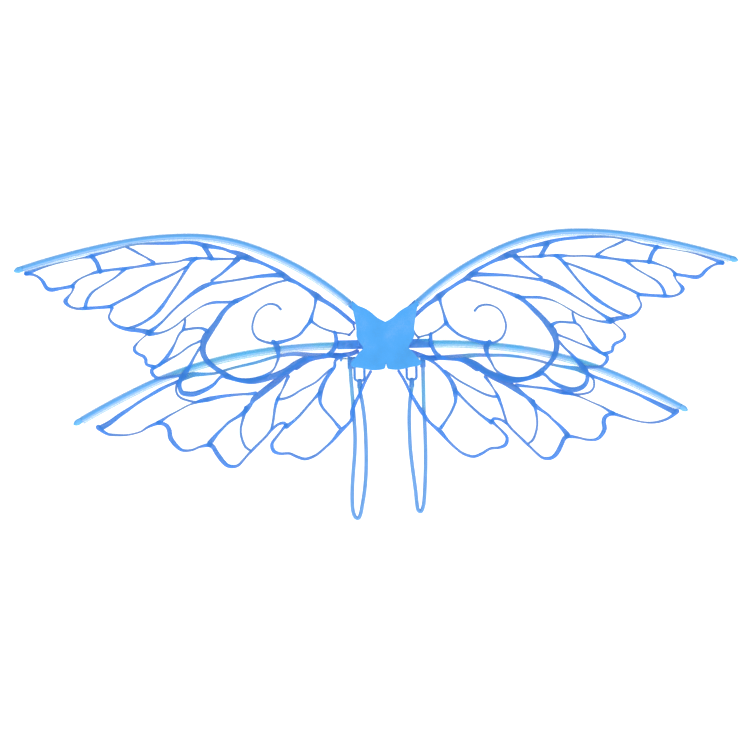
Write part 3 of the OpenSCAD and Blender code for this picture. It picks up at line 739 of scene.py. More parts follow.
def line_tree():
    """Sweeps a round or flattened bar along each line, as wide as the line's width attribute says."""
    found = bpy.data.node_groups.get("Bar along a line")
    if found:
        return found
    tree, given, end = tree_with("Bar along a line", [
        ("Sides", "NodeSocketInt"), ("Relief", "NodeSocketFloat"), ("Plane", "NodeSocketFloat"),
        ("Finish", "NodeSocketMaterial"),
    ])
    line = node(tree, "GeometryNodeMeshToCurve", {"Mesh": given.outputs["Geometry"]})
    width = node(tree, "GeometryNodeInputNamedAttribute", {"Name": "width"}, data_type="FLOAT")
    half = node(tree, "ShaderNodeMath", {0: width.outputs["Attribute"], 1: 0.5}, operation="MULTIPLY")
    round_bar = node(
        tree, "GeometryNodeCurvePrimitiveCircle", {"Resolution": given.outputs["Sides"], "Radius": 1.0}
    )
    bar = node(tree, "GeometryNodeCurveToMesh", {
        "Curve": line.outputs[0], "Profile Curve": round_bar.outputs["Curve"],
        "Scale": half.outputs[0], "Fill Caps": True,
    })
    place = node(tree, "GeometryNodeInputPosition")
    parts = node(tree, "ShaderNodeSeparateXYZ", {0: place.outputs[0]})
    off = node(tree, "ShaderNodeMath", {
        0: parts.outputs["Y"], 1: given.outputs["Plane"],
    }, operation="SUBTRACT")
    flat = node(tree, "ShaderNodeMath", {
        0: off.outputs[0], 1: given.outputs["Relief"], 2: given.outputs["Plane"],
    }, operation="MULTIPLY_ADD")
    whole = node(tree, "ShaderNodeCombineXYZ", {
        0: parts.outputs["X"], 1: flat.outputs[0], 2: parts.outputs["Z"],
    })
    moved = node(tree, "GeometryNodeSetPosition", {"Geometry": bar.outputs[0], "Position": whole.outputs[0]})
    finish_tree(tree, moved.outputs[0], given, end)
    return tree


def stitch_tree():
    """Lays one small thread capsule after another along a line."""
    tree, given, end = tree_with("Stitches along a line", [
        ("Spacing", "NodeSocketFloat"), ("Thread", "NodeSocketFloat"), ("Finish", "NodeSocketMaterial"),
    ])
    line = node(tree, "GeometryNodeMeshToCurve", {"Mesh": given.outputs["Geometry"]})
    dots = node(
        tree, "GeometryNodeCurveToPoints",
        {"Curve": line.outputs[0], "Length": given.outputs["Spacing"]}, mode="LENGTH",
    )
    ball = node(tree, "GeometryNodeMeshUVSphere", {
        "Segments": 8, "Rings": 6, "Radius": given.outputs["Thread"],
    })
    ratio = node(
        tree, "ShaderNodeMath", {0: given.outputs["Spacing"], 1: given.outputs["Thread"]}, operation="DIVIDE"
    )
    stretch = node(tree, "ShaderNodeMath", {0: ratio.outputs[0], 1: 0.4}, operation="MULTIPLY")
    size = node(tree, "ShaderNodeCombineXYZ", {0: 1.0, 1: 1.0, 2: stretch.outputs[0]})
    laid = node(tree, "GeometryNodeInstanceOnPoints", {
        "Points": dots.outputs["Points"], "Instance": ball.outputs["Mesh"],
        "Rotation": dots.outputs["Rotation"], "Scale": size.outputs[0],
    })
    finish_tree(tree, laid.outputs[0], given, end)
    return tree


def baked_lines(name, lines, tree, values, closed=False):
    """Runs a tree on lines of X, Y, Z and width, in metres, and returns the result as a plain mesh."""
    places = []
    widths = []
    edges = []
    for line in lines:
        first = len(places)
        places += [tuple(p[:3]) for p in line]
        widths += [p[3] for p in line]
        edges += [(k, k + 1) for k in range(first, len(places) - 1)]
        if closed:
            edges.append((len(places) - 1, first))
    mesh = bpy.data.meshes.new(name + "_lines")
    mesh.from_pydata(places, edges, [])
    mesh.attributes.new("width", "FLOAT", "POINT").data.foreach_set("value", widths)
    carrier = bpy.data.objects.new(name + "_lines", mesh)
    bpy.context.scene.collection.objects.link(carrier)
    modifier = carrier.modifiers.new("Lines", "NODES")
    modifier.node_group = tree
    for item in tree.interface.items_tree:
        if item.in_out == "INPUT" and item.name in values:
            modifier[item.identifier] = values[item.name]
    graph = bpy.context.evaluated_depsgraph_get()
    shown = carrier.evaluated_get(graph)
    baked = bpy.data.meshes.new_from_object(shown, preserve_all_data_layers=True, depsgraph=graph)
    baked.name = name
    carrier.modifiers.clear()
    bpy.data.objects.remove(carrier)
    return baked


# ---- Finishes ----


def blank_finish(name, settings):
    """A material with its shader's own sockets set, and the shader and the Object coordinates."""
    finish = bpy.data.materials.new(name)
    finish.use_nodes = True
    tree = finish.node_tree
    shader = tree.nodes["Principled BSDF"]
    for key, value in settings.items():
        shader.inputs[key].default_value = value
    place = tree.nodes.new("ShaderNodeTexCoord").outputs["Object"]
    return finish, tree, shader, place


def noise(tree, place, scale, detail=3.0, distortion=0.0):
    return node(tree, "ShaderNodeTexNoise", {
        "Vector": place, "Scale": scale, "Detail": detail, "Distortion": distortion,
    }).outputs["Fac"]


def ramp(tree, value, stops):
    """A colour that eases from stop to stop."""
    made = node(tree, "ShaderNodeValToRGB", {0: value})
    made.color_ramp.interpolation = "EASE"
    while len(made.color_ramp.elements) < len(stops):
        made.color_ramp.elements.new(0.5)
    for element, (position, colour) in zip(made.color_ramp.elements, stops):
        element.position = position
        element.color = (*colour, 1.0)
    return made.outputs["Color"]


def grey_ramp(tree, value, low, high, start=0.3, stop=0.7):
    return ramp(tree, value, [(start, (low,) * 3), (stop, (high,) * 3)])


def bump(tree, shader, height, distance, strength):
    made = node(tree, "ShaderNodeBump", {"Height": height, "Distance": distance, "Strength": strength})
    tree.links.new(made.outputs[0], shader.inputs["Normal"])


def shade(colour, share):
    """A colour made darker, or lighter when the share is over 1."""
    if share <= 1:
        return tuple(c * share for c in colour)
    return tuple(c + (1 - c) * (share - 1) for c in colour)


def moulded(name, colour, settings, scale=160.0, rough=(0.28, 0.42)):
    """Smooth moulded plastic: faint flow marks, a soft change of shade and fine scuffs."""
    finish, tree, shader, place = blank_finish(name, settings)
    flow = noise(tree, place, scale, 4.0, 0.6)
    tree.links.new(ramp(tree, flow, [
        (0.25, shade(colour, 0.84)), (0.5, colour), (0.75, shade(colour, 1.10)),
    ]), shader.inputs["Base Color"])
    scuffs = noise(tree, place, scale * 9, 5.0)
    tree.links.new(grey_ramp(tree, scuffs, rough[0], rough[1]), shader.inputs["Roughness"])
    grain = noise(tree, place, scale * 22, 2.0)
    bump(tree, shader, grain, 0.00004, 0.5)
    return finish


def foam_finish(colour):
    """Closed-cell craft foam: matt, with tiny cut cells and a slow change of shade."""
    finish, tree, shader, place = blank_finish("Cover foam", {"IOR": 1.45, "Sheen Weight": 0.15})
    cloud = noise(tree, place, 26, 3.0)
    cells = node(tree, "ShaderNodeTexVoronoi", {"Vector": place, "Scale": 1500.0, "Randomness": 1.0})
    fine = noise(tree, place, 900, 3.0)
    both = node(tree, "ShaderNodeMath", {0: fine, 1: 0.5, 2: cloud}, operation="MULTIPLY_ADD")
    tree.links.new(ramp(tree, both.outputs[0], [
        (0.45, shade(colour, 0.86)), (0.75, colour), (1.0, shade(colour, 1.07)),
    ]), shader.inputs["Base Color"])
    tree.links.new(grey_ramp(tree, fine, 0.62, 0.8), shader.inputs["Roughness"])
    pores = node(tree, "ShaderNodeMath", {
        0: cells.outputs["Distance"], 1: 0.7, 2: fine,
    }, operation="MULTIPLY_ADD")
    bump(tree, shader, pores.outputs[0], 0.00012, 0.45)
    return finish


def film_finish(colour):
    """Clear wing film with a faint shimmer that drifts from blue through teal and green to lilac."""
    finish, tree, shader, place = blank_finish("Wing film", {
        "Alpha": 0.07, "IOR": 1.5,
        "Thin Film Thickness": 380.0, "Thin Film IOR": 1.38,
    })
    drift = noise(tree, place, 9.0, 2.0, 1.2)
    tree.links.new(ramp(tree, drift, [
        (0.30, (0.06, 0.72, 0.95)), (0.42, colour), (0.52, (0.30, 0.92, 0.66)),
        (0.60, (0.55, 0.68, 0.90)), (0.70, (0.08, 0.76, 0.94)),
    ]), shader.inputs["Base Color"])
    tree.links.new(grey_ramp(tree, noise(tree, place, 60.0, 3.0), 0.10, 0.24), shader.inputs["Roughness"])
    bump(tree, shader, noise(tree, place, 75.0, 2.0, 0.8), 0.0006, 0.35)
    return finish


def ink_finish(colour, fine):
    """Printed ink, paler and greyer where a vein is thin, and stronger where veins meet."""
    finish, tree, shader, place = blank_finish("Vein ink", {"Alpha": 0.78, "IOR": 1.45})
    width = node(tree, "ShaderNodeAttribute", attribute_name="width").outputs["Fac"]
    cloud = noise(tree, place, 55, 3.0)
    uneven = node(tree, "ShaderNodeMath", {0: cloud, 1: 0.0016, 2: width}, operation="MULTIPLY_ADD")
    share = node(tree, "ShaderNodeMapRange", {
        "Value": uneven.outputs[0], "From Min": 0.0022, "From Max": 0.0085,
    }).outputs[0]
    tree.links.new(ramp(tree, share, [
        (0.0, fine), (0.28, tuple((a + b) / 2 for a, b in zip(fine, colour))), (0.5, colour),
        (1.0, shade(colour, 0.82)),
    ]), shader.inputs["Base Color"])
    specks = noise(tree, place, 1400, 2.0)
    tree.links.new(grey_ramp(tree, specks, 0.3, 0.48), shader.inputs["Roughness"])
    bump(tree, shader, specks, 0.00003, 0.4)
    return finish


def tube_finish_with_painted_light(name, colour, alpha, rough):
    """Tinted tube or film pocket: painted shade makes it deeper along its top and bottom, and a painted
    highlight, the floor's reflection, makes a pale line along its lower side.
    """
    # The pale colour is a painted highlight: the floor's reflection along the tube's lower side.
    pale = shade(colour, 1.3)
    finish, tree, shader, place = blank_finish(name, {"Alpha": alpha, "IOR": 1.45})
    surface = node(tree, "ShaderNodeTexCoord").outputs["Normal"]
    up = node(tree, "ShaderNodeSeparateXYZ", {0: surface}).outputs["Z"]
    cloud = noise(tree, place, 70, 3.0, 0.4)
    height = node(tree, "ShaderNodeMath", {0: up, 1: 0.5, 2: 0.47}, operation="MULTIPLY_ADD").outputs[0]
    uneven = node(tree, "ShaderNodeMath", {0: cloud, 1: 0.06, 2: height}, operation="MULTIPLY_ADD")
    # Which way the surface faces sets the painted shade at the top and bottom and the painted highlight on
    # the lower side; the cloud only makes the tone uneven.
    tree.links.new(ramp(tree, uneven.outputs[0], [
        (0.02, shade(colour, 0.84)), (0.12, shade(colour, 0.92)), (0.19, pale),
        (0.28, pale), (0.40, colour), (0.84, colour), (1.0, shade(colour, 0.82)),
    ]), shader.inputs["Base Color"])
    lines = noise(tree, place, 520, 4.0)
    tree.links.new(grey_ramp(tree, lines, rough, rough + 0.14), shader.inputs["Roughness"])
    bump(tree, shader, lines, 0.00005, 0.5)
    return finish


def steel_finish():
    """Plain bright steel with brushed marks and a few darker spots."""
    finish, tree, shader, place = blank_finish("Bright steel", {"Metallic": 1.0})
    brushed = noise(tree, place, 1100, 4.0, 0.3)
    spots = noise(tree, place, 140, 5.0)
    tree.links.new(ramp(tree, spots, [
        (0.3, (0.42, 0.43, 0.45)), (0.5, (0.62, 0.63, 0.65)), (0.8, (0.72, 0.73, 0.75)),
    ]), shader.inputs["Base Color"])
    tree.links.new(grey_ramp(tree, brushed, 0.22, 0.42), shader.inputs["Roughness"])
    bump(tree, shader, brushed, 0.00002, 0.5)
    return finish


def elastic_finish(colour):
    """Round braided elastic: two sets of threads that cross round the cord, with a soft sheen, and painted
    shade between the threads and a painted highlight on their tops.
    """
    finish, tree, shader, place = blank_finish("Braided elastic", {
        "IOR": 1.45, "Sheen Weight": 0.35, "Sheen Roughness": 0.4,
    })
    parts = node(tree, "ShaderNodeSeparateXYZ", {
        0: node(tree, "ShaderNodeUVMap", uv_map="along").outputs[0],
    })
    along = node(tree, "ShaderNodeMath", {0: parts.outputs["X"], 1: 2200.0}, operation="MULTIPLY")
    threads = []
    for turns in (8, -8):
        angle = node(tree, "ShaderNodeMath", {
            0: parts.outputs["Y"], 1: 2 * math.pi * turns, 2: along.outputs[0],
        }, operation="MULTIPLY_ADD")
        threads.append(node(tree, "ShaderNodeMath", {0: angle.outputs[0]}, operation="SINE").outputs[0])
    top = node(tree, "ShaderNodeMath", {0: threads[0], 1: threads[1]}, operation="MAXIMUM").outputs[0]
    height = node(tree, "ShaderNodeMapRange", {"Value": top, "From Min": -1.0, "From Max": 1.0}).outputs[0]
    cloud = noise(tree, place, 90, 3.0)
    mix = node(tree, "ShaderNodeMath", {0: cloud, 1: 0.5, 2: height}, operation="MULTIPLY_ADD").outputs[0]
    # Painted shade in the dips between the threads and a painted highlight on their tops, mixed with a cloud
    # of uneven tone.
    tree.links.new(ramp(tree, mix, [
        (0.35, shade(colour, 0.62)), (0.8, colour), (1.0, shade(colour, 1.14)),
    ]), shader.inputs["Base Color"])
    tree.links.new(grey_ramp(tree, height, 0.8, 0.55), shader.inputs["Roughness"])
    bump(tree, shader, height, 0.00022, 0.8)
    return finish


def pad_finish(colour):
    """Brushed cloth over foam: a close weave, a short nap and faint creases, with painted shade in the dips
    of the weave and nap and a painted highlight on their tops.
    """
    finish, tree, shader, place = blank_finish("Pad cloth", {
        "IOR": 1.4, "Sheen Weight": 0.4, "Sheen Roughness": 0.5,
    })
    parts = node(tree, "ShaderNodeSeparateXYZ", {0: place})
    waves = []
    for axis in ("X", "Z"):
        angle = node(tree, "ShaderNodeMath", {0: parts.outputs[axis], 1: 7000.0}, operation="MULTIPLY")
        waves.append(node(tree, "ShaderNodeMath", {0: angle.outputs[0]}, operation="SINE").outputs[0])
    weave = node(tree, "ShaderNodeMath", {0: waves[0], 1: waves[1]}, operation="MULTIPLY").outputs[0]
    nap = noise(tree, place, 1700, 4.0)
    height = node(tree, "ShaderNodeMath", {0: weave, 1: 0.25, 2: nap}, operation="MULTIPLY_ADD").outputs[0]
    # Painted shade in the dips of the weave and nap and a painted highlight on their tops.
    tree.links.new(ramp(tree, height, [
        (0.2, shade(colour, 0.72)), (0.5, colour), (0.8, shade(colour, 1.15)),
    ]), shader.inputs["Base Color"])
    tree.links.new(grey_ramp(tree, nap, 0.78, 0.95), shader.inputs["Roughness"])
    bump(tree, shader, height, 0.00015, 0.7)
    return finish


def finish_named(name):
    """One of the finishes, made the first time that it is asked for."""
    made = bpy.data.materials.get(name)
    if made:
        return made
    colours = bpy.context.scene.wing_colours
    recipes = {
        "Cover foam": lambda: foam_finish(tuple(colours.foam)),
        "Wing film": lambda: film_finish(tuple(colours.film)),
        "Vein ink": lambda: ink_finish(tuple(colours.ink), tuple(colours.fine_ink)),
        "Rod tube": lambda: tube_finish_with_painted_light("Rod tube", tuple(colours.rod), 1.0, 0.26),
        "Film pocket": lambda: tube_finish_with_painted_light("Film pocket", tuple(colours.sleeve), 0.42, 0.16),
        "Rod cap": lambda: moulded("Rod cap", tuple(colours.rod), {"IOR": 1.46}),
        "Root plug": lambda: moulded("Root plug", tuple(colours.rod), {"IOR": 1.46}),
        "Arm plastic": lambda: moulded("Arm plastic", tuple(colours.arm), {
            "IOR": 1.47, "Transmission Weight": 0.25, "Coat Weight": 0.3, "Coat Roughness": 0.15,
        }),
        "Link plastic": lambda: moulded("Link plastic", tuple(colours.fitting), {
            "IOR": 1.47, "Transmission Weight": 0.2,
        }, 240.0),
        "Hub shell": lambda: moulded("Hub shell", tuple(colours.shell), {"IOR": 1.46}, 90.0, (0.36, 0.5)),
        "Bright steel": steel_finish,
        "Braided elastic": lambda: elastic_finish(tuple(colours.elastic)),
        "Pad cloth": lambda: pad_finish(tuple(colours.pad)),
        "Stitch thread": lambda: moulded(
            "Stitch thread", shade(tuple(colours.pad), 1.4), {"Sheen Weight": 0.3}, 900.0, (0.7, 0.85)
        ),
    }
    return recipes[name]()


def repaint(node_name, finish):
    """Gives a CAD piece that stays in view its finish."""
    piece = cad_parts[node_name]
    if not piece.material_slots:
        piece.data.materials.append(None)
    for place in piece.material_slots:
        place.material = finish


# ---- Operators ----


class WINGS_OT_stage(bpy.types.Operator):
    """Make the camera, the soft studio light and the pale floor"""

    bl_idname = "wings.stage"
    bl_label = "Camera, light and floor"

    def execute(self, context):
        data = bpy.data.cameras.new("Camera")
        data.lens = LENS
        data.sensor_width = SENSOR_WIDTH
        data.clip_end = VIEW_LIMIT
        camera = bpy.data.objects.new("Camera", data)
        context.scene.collection.objects.link(camera)
        target = Vector(CAMERA_TARGET)
        round_to = math.radians(CAMERA_AZIMUTH)
        away = Vector((math.sin(round_to), -math.cos(round_to), 0.0))
        camera.location = target + away * CAMERA_DISTANCE
        turn = (-away).to_track_quat("-Z", "Y").to_matrix()
        roll = Matrix.Rotation(math.radians(CAMERA_ROLL), 3, "Z")
        camera.rotation_euler = (turn @ roll).to_euler()
        context.scene.camera = camera

        context.scene.view_settings.view_transform = "Standard"
        world = bpy.data.worlds.new("Studio")
        world.use_nodes = True
        sky = world.node_tree.nodes["Background"]
        sky.inputs["Color"].default_value = (1.0, 1.0, 1.0, 1.0)
        sky.inputs["Strength"].default_value = SKY_STRENGTH
        context.scene.world = world
        for name, place, size, power in (
            ("Key", (-1.3, -1.9, 1.5), 1.6, 14.0),
            ("Fill", (1.7, -1.7, 0.5), 1.8, 5.0),
            ("Low", (0.2, -1.2, -0.75), 1.2, 3.0),
            ("Behind", (0.3, 1.9, 1.2), 1.8, 12.0),
        ):
            light = bpy.data.lights.new(name, "AREA")
            light.shape = "DISK"
            light.size = size
            light.energy = power
            lamp = bpy.data.objects.new(name, light)
            lamp.location = place
            aim = Vector(LIGHT_TARGET) - Vector(place)
            lamp.rotation_euler = aim.to_track_quat("-Z", "Y").to_euler()
            context.scene.collection.objects.link(lamp)

        vertices = []
        rows = [(FLOOR_FRONT, FLOOR_HEIGHT), (WALL_START, FLOOR_HEIGHT)]
        for k in range(1, WALL_STEPS + 1):
            angle = math.radians(90) * k / WALL_STEPS
            rows.append((
                WALL_START + WALL_ROUND * math.sin(angle),
                FLOOR_HEIGHT + WALL_ROUND * (1 - math.cos(angle)),
            ))
        rows.append((WALL_START + WALL_ROUND, WALL_TOP))
        for x in (-FLOOR_SIDE, FLOOR_SIDE):
            vertices += [(x, y, z) for y, z in rows]
        count = len(rows)
        faces = [(k, count + k, count + k + 1, k + 1) for k in range(count - 1)]
        floor = bpy.data.objects.new("Floor", mesh_of("Floor", vertices, faces))
        context.scene.collection.objects.link(floor)
        paper, tree, shader, place = blank_finish("Studio paper", {
            "Roughness": 0.9, "Specular IOR Level": 0.1,
        })
        grain = noise(tree, place, 3.0, 3.0)
        tree.links.new(grey_ramp(tree, grain, 0.955, 0.975), shader.inputs["Base Color"])
        shader.inputs["Emission Color"].default_value = (1.0, 1.0, 1.0, 1.0)
        shader.inputs["Emission Strength"].default_value = FLOOR_GLOW
        floor.data.materials.append(paper)
        return {"FINISHED"}


class WINGS_OT_straps(bpy.types.Operator):
    """Make the two hanging loops of round elastic"""

    bl_idname = "wings.straps"
    bl_label = "Elastic straps"

    def execute(self, context):
        across = context.scene.wing_sizes.cord_diameter
        for side, sign in SIDES.items():
            line = smooth_line(STRAP_ROUTES[side], 1.6)
            points = [(sign * x * MM, -STRAP_DEPTH * MM, z * MM) for x, z in line]
            mesh = tube_mesh("strap_elastic_" + side, points, circle_profile(across / 2, 20))
            cord = new_piece(mesh.name, mesh, finish_named("Braided elastic"))
            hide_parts("strap_cord_" + side)
            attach(cord, "strap_" + side)
        return {"FINISHED"}


class WINGS_OT_strap_fittings(bpy.types.Operator):
    """Make the links, eyes and tabs that hold the straps, and the bar they turn on"""

    bl_idname = "wings.strap_fittings"
    bl_label = "Strap fittings"

    def execute(self, context):
        plastic = finish_named("Link plastic")
        for side in SIDES:
            body = "strap_" + side
            softened("strap_ring_" + side, "strap_link_" + side, 0.0004, plastic, body)
            softened("strap_crimp_" + side, "strap_eye_" + side, 0.0003, plastic, body)
            softened("strap_clip_" + side, "strap_tab_" + side, 0.0003, plastic, body)
        softened("bar_end_caps", "bar_caps", 0.0005, plastic, "hub")
        repaint("strap_bar", finish_named("Bright steel"))
        return {"FINISHED"}


class WINGS_OT_films(bpy.types.Operator):
    """Make the four clear films with their printed veins"""

    bl_idname = "wings.films"
    bl_label = "Films and veins"

    def execute(self, context):
        sizes = context.scene.wing_sizes
        for level, wing in WINGS.items():
            rods = rod_line(wing, 0, 0, 4.0)
            plane = -wing["depth"] * MM
            for side, sign in SIDES.items():
                end = f"{level}_wing_{{}}_{side}"
                body = f"{level}_wing_{side}"
                line = cad_outline(f"{level}_film_{side}")
                points, faces = filled(line, sizes.film_grid / MM)
                lift = film_wave(sign, rods, points[:, 0], points[:, 1])
                half = sizes.film_thickness / 2
                vertices, skin = two_sided(points, faces, plane + lift - half, plane + lift + half)
                mesh = mesh_of(end.format("film"), vertices, skin)
                film = new_piece(mesh.name, mesh, finish_named("Wing film"))
                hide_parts(f"{level}_film_{side}")
                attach(film, body)

                lines = []
                for vein in wing["veins"]:
                    rows = smooth_line(vein, 2.2)
                    rows = rounded_ends(left_print(level, rows) if side == "left" else rows)
                    lines.append([
                        (sign * x * MM, plane, z * MM, width * MM) for x, z, width in rows
                    ])
                printed = baked_lines(end.format("veins"), lines, line_tree(), {
                    "Sides": 10, "Relief": sizes.vein_relief, "Plane": plane,
                    "Finish": finish_named("Vein ink"),
                })
                spots = np.array([v.co for v in printed.vertices])
                spots[:, 1] += film_wave(sign, rods, spots[:, 0] / MM, spots[:, 2] / MM)
                printed.vertices.foreach_set("co", spots.astype(np.float32).ravel())
                printed.update()
                veins = new_piece(printed.name, printed, finish_named("Vein ink"))
                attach(veins, body)

                pocket = self.pocket(context, level, wing, side, sign)
        return {"FINISHED"}

    def pocket(self, context, level, wing, side, sign):
        """The welded pocket that holds a film on its rod."""
        radius = context.scene.wing_sizes.sleeve_diameter / 2
        line = rod_line(wing, SLEEVE_ROOT, SLEEVE_TIP)
        points = [(sign * x * MM, -wing["depth"] * MM, z * MM) for x, z in line]
        below = radius + WELD_WIDTH * MM
        profile = [
            (-below, -WELD_HALF * MM), (-below, WELD_HALF * MM), (-radius, WELD_ROOT_HALF * MM),
        ]
        steps = 24
        for k in range(steps + 1):
            angle = math.radians(POCKET_TURN - 2 * POCKET_TURN * k / steps)
            profile.append((radius * math.cos(angle), radius * math.sin(angle)))
        profile.append((-radius, -WELD_ROOT_HALF * MM))
        profile = [(-sign * a, b) for a, b in profile]
        mesh = tube_mesh(f"{level}_rod_pocket_{side}", points, profile)
        piece = new_piece(mesh.name, mesh, finish_named("Film pocket"))
        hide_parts(f"{level}_sleeve_{side}")
        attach(piece, f"{level}_wing_{side}")
        return piece


class WINGS_OT_rods(bpy.types.Operator):
    """Make the bent rods with their end caps and root plugs"""

    bl_idname = "wings.rods"
    bl_label = "Rods, caps and plugs"

    def execute(self, context):
        across = context.scene.wing_sizes.rod_diameter
        for level, wing in WINGS.items():
            plane = -wing["depth"] * MM
            end_slope = math.radians(wing["arcs"][-1][1])
            centre = rod_line(wing, 1 - PLUG_LENGTH, 0)
            for side, sign in SIDES.items():
                body = f"{level}_wing_{side}"
                line = [(sign * x * MM, plane, z * MM, across) for x, z in centre]
                bar = baked_lines(f"{level}_rod_{side}_bar", [line], line_tree(), {
                    "Sides": 24, "Relief": 1.0, "Plane": plane, "Finish": finish_named("Rod tube"),
                })
                rod = new_piece(bar.name, bar, finish_named("Rod tube"))
                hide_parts(f"{level}_rod_{side}")
                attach(rod, body)

                tip = (sign * centre[-1][0] * MM, plane, centre[-1][1] * MM)
                onward = (sign * math.cos(end_slope), 0.0, math.sin(end_slope))
                radius = across / 2 + CAP_WALL * MM
                profile = [(along * MM, radius + step * MM) for along, step in CAP_COLLAR]
                steps = 12
                for k in range(steps + 1):
                    share = k / steps
                    narrowed = radius * (1 - share ** 1.6) ** 0.72
                    profile.append((CAP_TAPER * MM * share, narrowed + CAP_END_RADIUS * MM))
                cap_mesh = turned(f"{level}_rod_cap_{side}", profile, tip, onward)
                cap = new_piece(cap_mesh.name, cap_mesh, finish_named("Rod cap"))
                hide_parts(f"{level}_tip_{side}")
                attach(cap, body)
                softened(
                    f"{level}_root_plug_{side}", f"{level}_plug_{side}", 0.0003,
                    finish_named("Root plug"), body,
                )
        return {"FINISHED"}


class WINGS_OT_arms(bpy.types.Operator):
    """Make the two hinged arms with their sockets"""

    bl_idname = "wings.arms"
    bl_label = "Hinged arms"

    def execute(self, context):
        for side in SIDES:
            arm = "arm_" + side
            softened("wing_" + arm, arm, 0.0005, finish_named("Arm plastic"), arm)
        return {"FINISHED"}


class WINGS_OT_hub(bpy.types.Operator):
    """Make the moulded hub with its screws and hinge pins"""

    bl_idname = "wings.hub"
    bl_label = "Hub"

    def execute(self, context):
        shell = finish_named("Hub shell")
        softened("hub_front_shell", "hub_front", 0.0004, shell, "hub")
        softened("hub_back_shell", "hub_back", 0.0004, shell, "hub")
        for name in ("hub_screws", "hinge_pin_left", "hinge_pin_right"):
            repaint(name, finish_named("Bright steel"))
        return {"FINISHED"}


class WINGS_OT_cover(bpy.types.Operator):
    """Make the foam butterfly that covers the hub"""

    bl_idname = "wings.cover"
    bl_label = "Foam cover"

    def execute(self, context):
        low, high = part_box("cover_butterfly")
        line = cad_outline("cover_butterfly")
        count = len(line)
        vertices = [(x * MM, low.y, z * MM) for x, z in line] + [(x * MM, high.y, z * MM) for x, z in line]
        faces = [tuple(range(count)), tuple(range(2 * count - 1, count - 1, -1))]
        faces += [(k, count + k, count + (k + 1) % count, (k + 1) % count) for k in range(count)]
        mesh = mesh_of("foam_butterfly", vertices, faces)
        outwards(mesh)
        cover = new_piece("foam_butterfly", mesh, finish_named("Cover foam"))
        rounding = cover.modifiers.new("Cut edge", "BEVEL")
        rounding.width = context.scene.wing_sizes.cover_round
        rounding.segments = 4
        rounding.limit_method = "ANGLE"
        rounding.angle_limit = math.radians(50)
        rounding.harden_normals = True
        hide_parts("cover_butterfly")
        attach(cover, "hub")
        return {"FINISHED"}


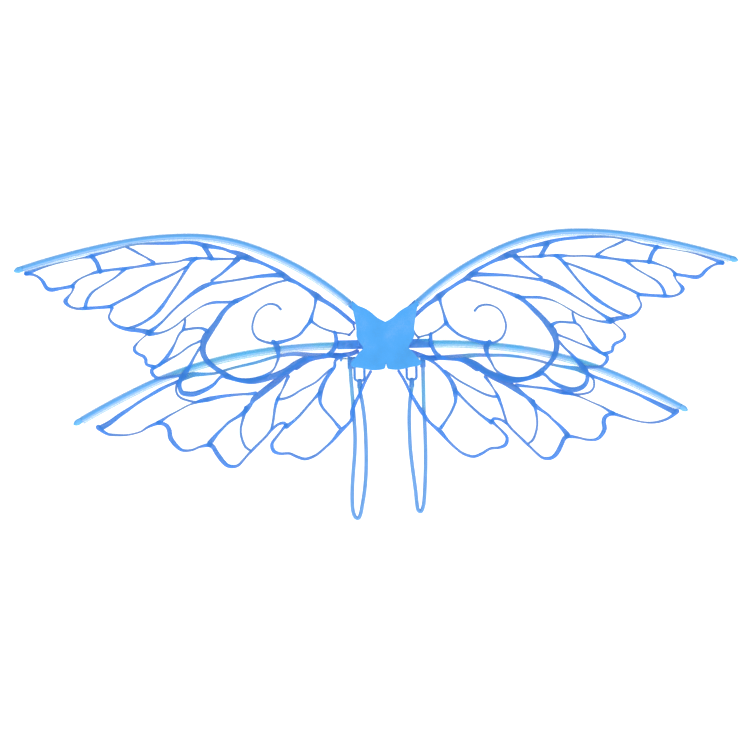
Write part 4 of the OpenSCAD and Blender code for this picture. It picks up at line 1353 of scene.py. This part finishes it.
class WINGS_OT_pad(bpy.types.Operator):
    """Make the soft back pad with its stitched edge"""

    bl_idname = "wings.pad"
    bl_label = "Back pad"

    def execute(self, context):
        low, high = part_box("back_pad")
        middle = (low + high) / 2
        half_x = (high.x - low.x) / 2
        half_z = (high.z - low.z) / 2
        thick = high.y - low.y
        corner = PAD_CORNER * MM
        ring = []
        for cx, cz, first in ((1, 1, 0), (-1, 1, 90), (-1, -1, 180), (1, -1, 270)):
            steps = 12
            for k in range(steps + 1):
                angle = math.radians(first + 90 * k / steps)
                ring.append((
                    cx * (half_x - corner) + corner * math.cos(angle),
                    cz * (half_z - corner) + corner * math.sin(angle),
                ))
        ring = self.evened(ring, 1.2 * MM)
        count = len(ring)
        vertices = []
        for inset, depth in PAD_ROWS:
            for x, z in ring:
                share_x = 1 - inset * MM / half_x
                share_z = 1 - inset * MM / half_z
                ease = min(1.0, inset / PAD_INSET)
                bow = 0.0
                if abs(z) > half_z - 1 * MM:
                    bow = PAD_BOW * MM * (1 - (abs(x) / half_x) ** 3) * (1 - ease)
                vertices.append((
                    middle.x + x * share_x,
                    high.y - depth * thick,
                    middle.z + (z - math.copysign(bow, z)) * share_z,
                ))
        faces = []
        last = len(PAD_ROWS) - 1
        for row in range(last):
            for k in range(count):
                m = (k + 1) % count
                faces.append((row * count + k, row * count + m, (row + 1) * count + m, (row + 1) * count + k))
        faces.append(tuple(range(count - 1, -1, -1)))
        faces.append(tuple(last * count + k for k in range(count)))
        mesh = mesh_of("back_pad_cushion", vertices, faces)
        outwards(mesh)
        pad = new_piece(mesh.name, mesh, finish_named("Pad cloth"))
        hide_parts("back_pad")
        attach(pad, "hub")

        share_x = 1 - SEAM_IN * MM / half_x
        share_z = 1 - SEAM_IN * MM / half_z
        depth = high.y - SEAM_DEPTH * thick
        line = [(middle.x + x * share_x, depth, middle.z + z * share_z, 0.0) for x, z in ring]
        sewn = baked_lines("back_pad_stitches", [line], stitch_tree(), {
            "Spacing": context.scene.wing_sizes.stitch_length, "Thread": THREAD_RADIUS * MM,
            "Finish": finish_named("Stitch thread"),
        }, closed=True)
        stitches = new_piece(sewn.name, sewn, finish_named("Stitch thread"))
        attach(stitches, "hub")
        return {"FINISHED"}

    def evened(self, ring, step):
        """The same closed line with points an even step apart."""
        points = np.array(ring + ring[:1])
        run = np.concatenate([[0], np.cumsum(np.linalg.norm(np.diff(points, axis=0), axis=1))])
        spots = np.linspace(0, run[-1], round(run[-1] / step) + 1)[:-1]
        across = np.interp(spots, run, points[:, 0])
        up = np.interp(spots, run, points[:, 1])
        return [(float(x), float(z)) for x, z in zip(across, up)]


OPERATORS = (
    WINGS_OT_stage, WINGS_OT_straps, WINGS_OT_strap_fittings, WINGS_OT_films, WINGS_OT_rods, WINGS_OT_arms,
    WINGS_OT_hub, WINGS_OT_cover, WINGS_OT_pad,
)


class WINGS_PT_panel(bpy.types.Panel):
    """Sizes, colours and pieces of the fairy wings"""

    bl_idname = "WINGS_PT_panel"
    bl_label = "Fairy Wings"
    bl_space_type = "VIEW_3D"
    bl_region_type = "UI"
    bl_category = "Wings"

    def draw(self, context):
        column = self.layout.column()
        for group in (context.scene.wing_sizes, context.scene.wing_colours):
            for name in group.bl_rna.properties.keys():
                if name not in {"rna_type", "name"}:
                    column.prop(group, name)
        for operator in OPERATORS:
            column.operator(operator.bl_idname)


CLASSES = (WingSizes, WingColours, *OPERATORS, WINGS_PT_panel)


def register():
    for made in CLASSES:
        bpy.utils.register_class(made)
    bpy.types.Scene.wing_sizes = bpy.props.PointerProperty(type=WingSizes)
    bpy.types.Scene.wing_colours = bpy.props.PointerProperty(type=WingColours)


def unregister():
    del bpy.types.Scene.wing_colours
    del bpy.types.Scene.wing_sizes
    for made in reversed(CLASSES):
        bpy.utils.unregister_class(made)


def main():
    register()
    for operator in OPERATORS:
        group, name = operator.bl_idname.split(".")
        getattr(getattr(bpy.ops, group), name)()


if __name__ == "__main__":
    main()
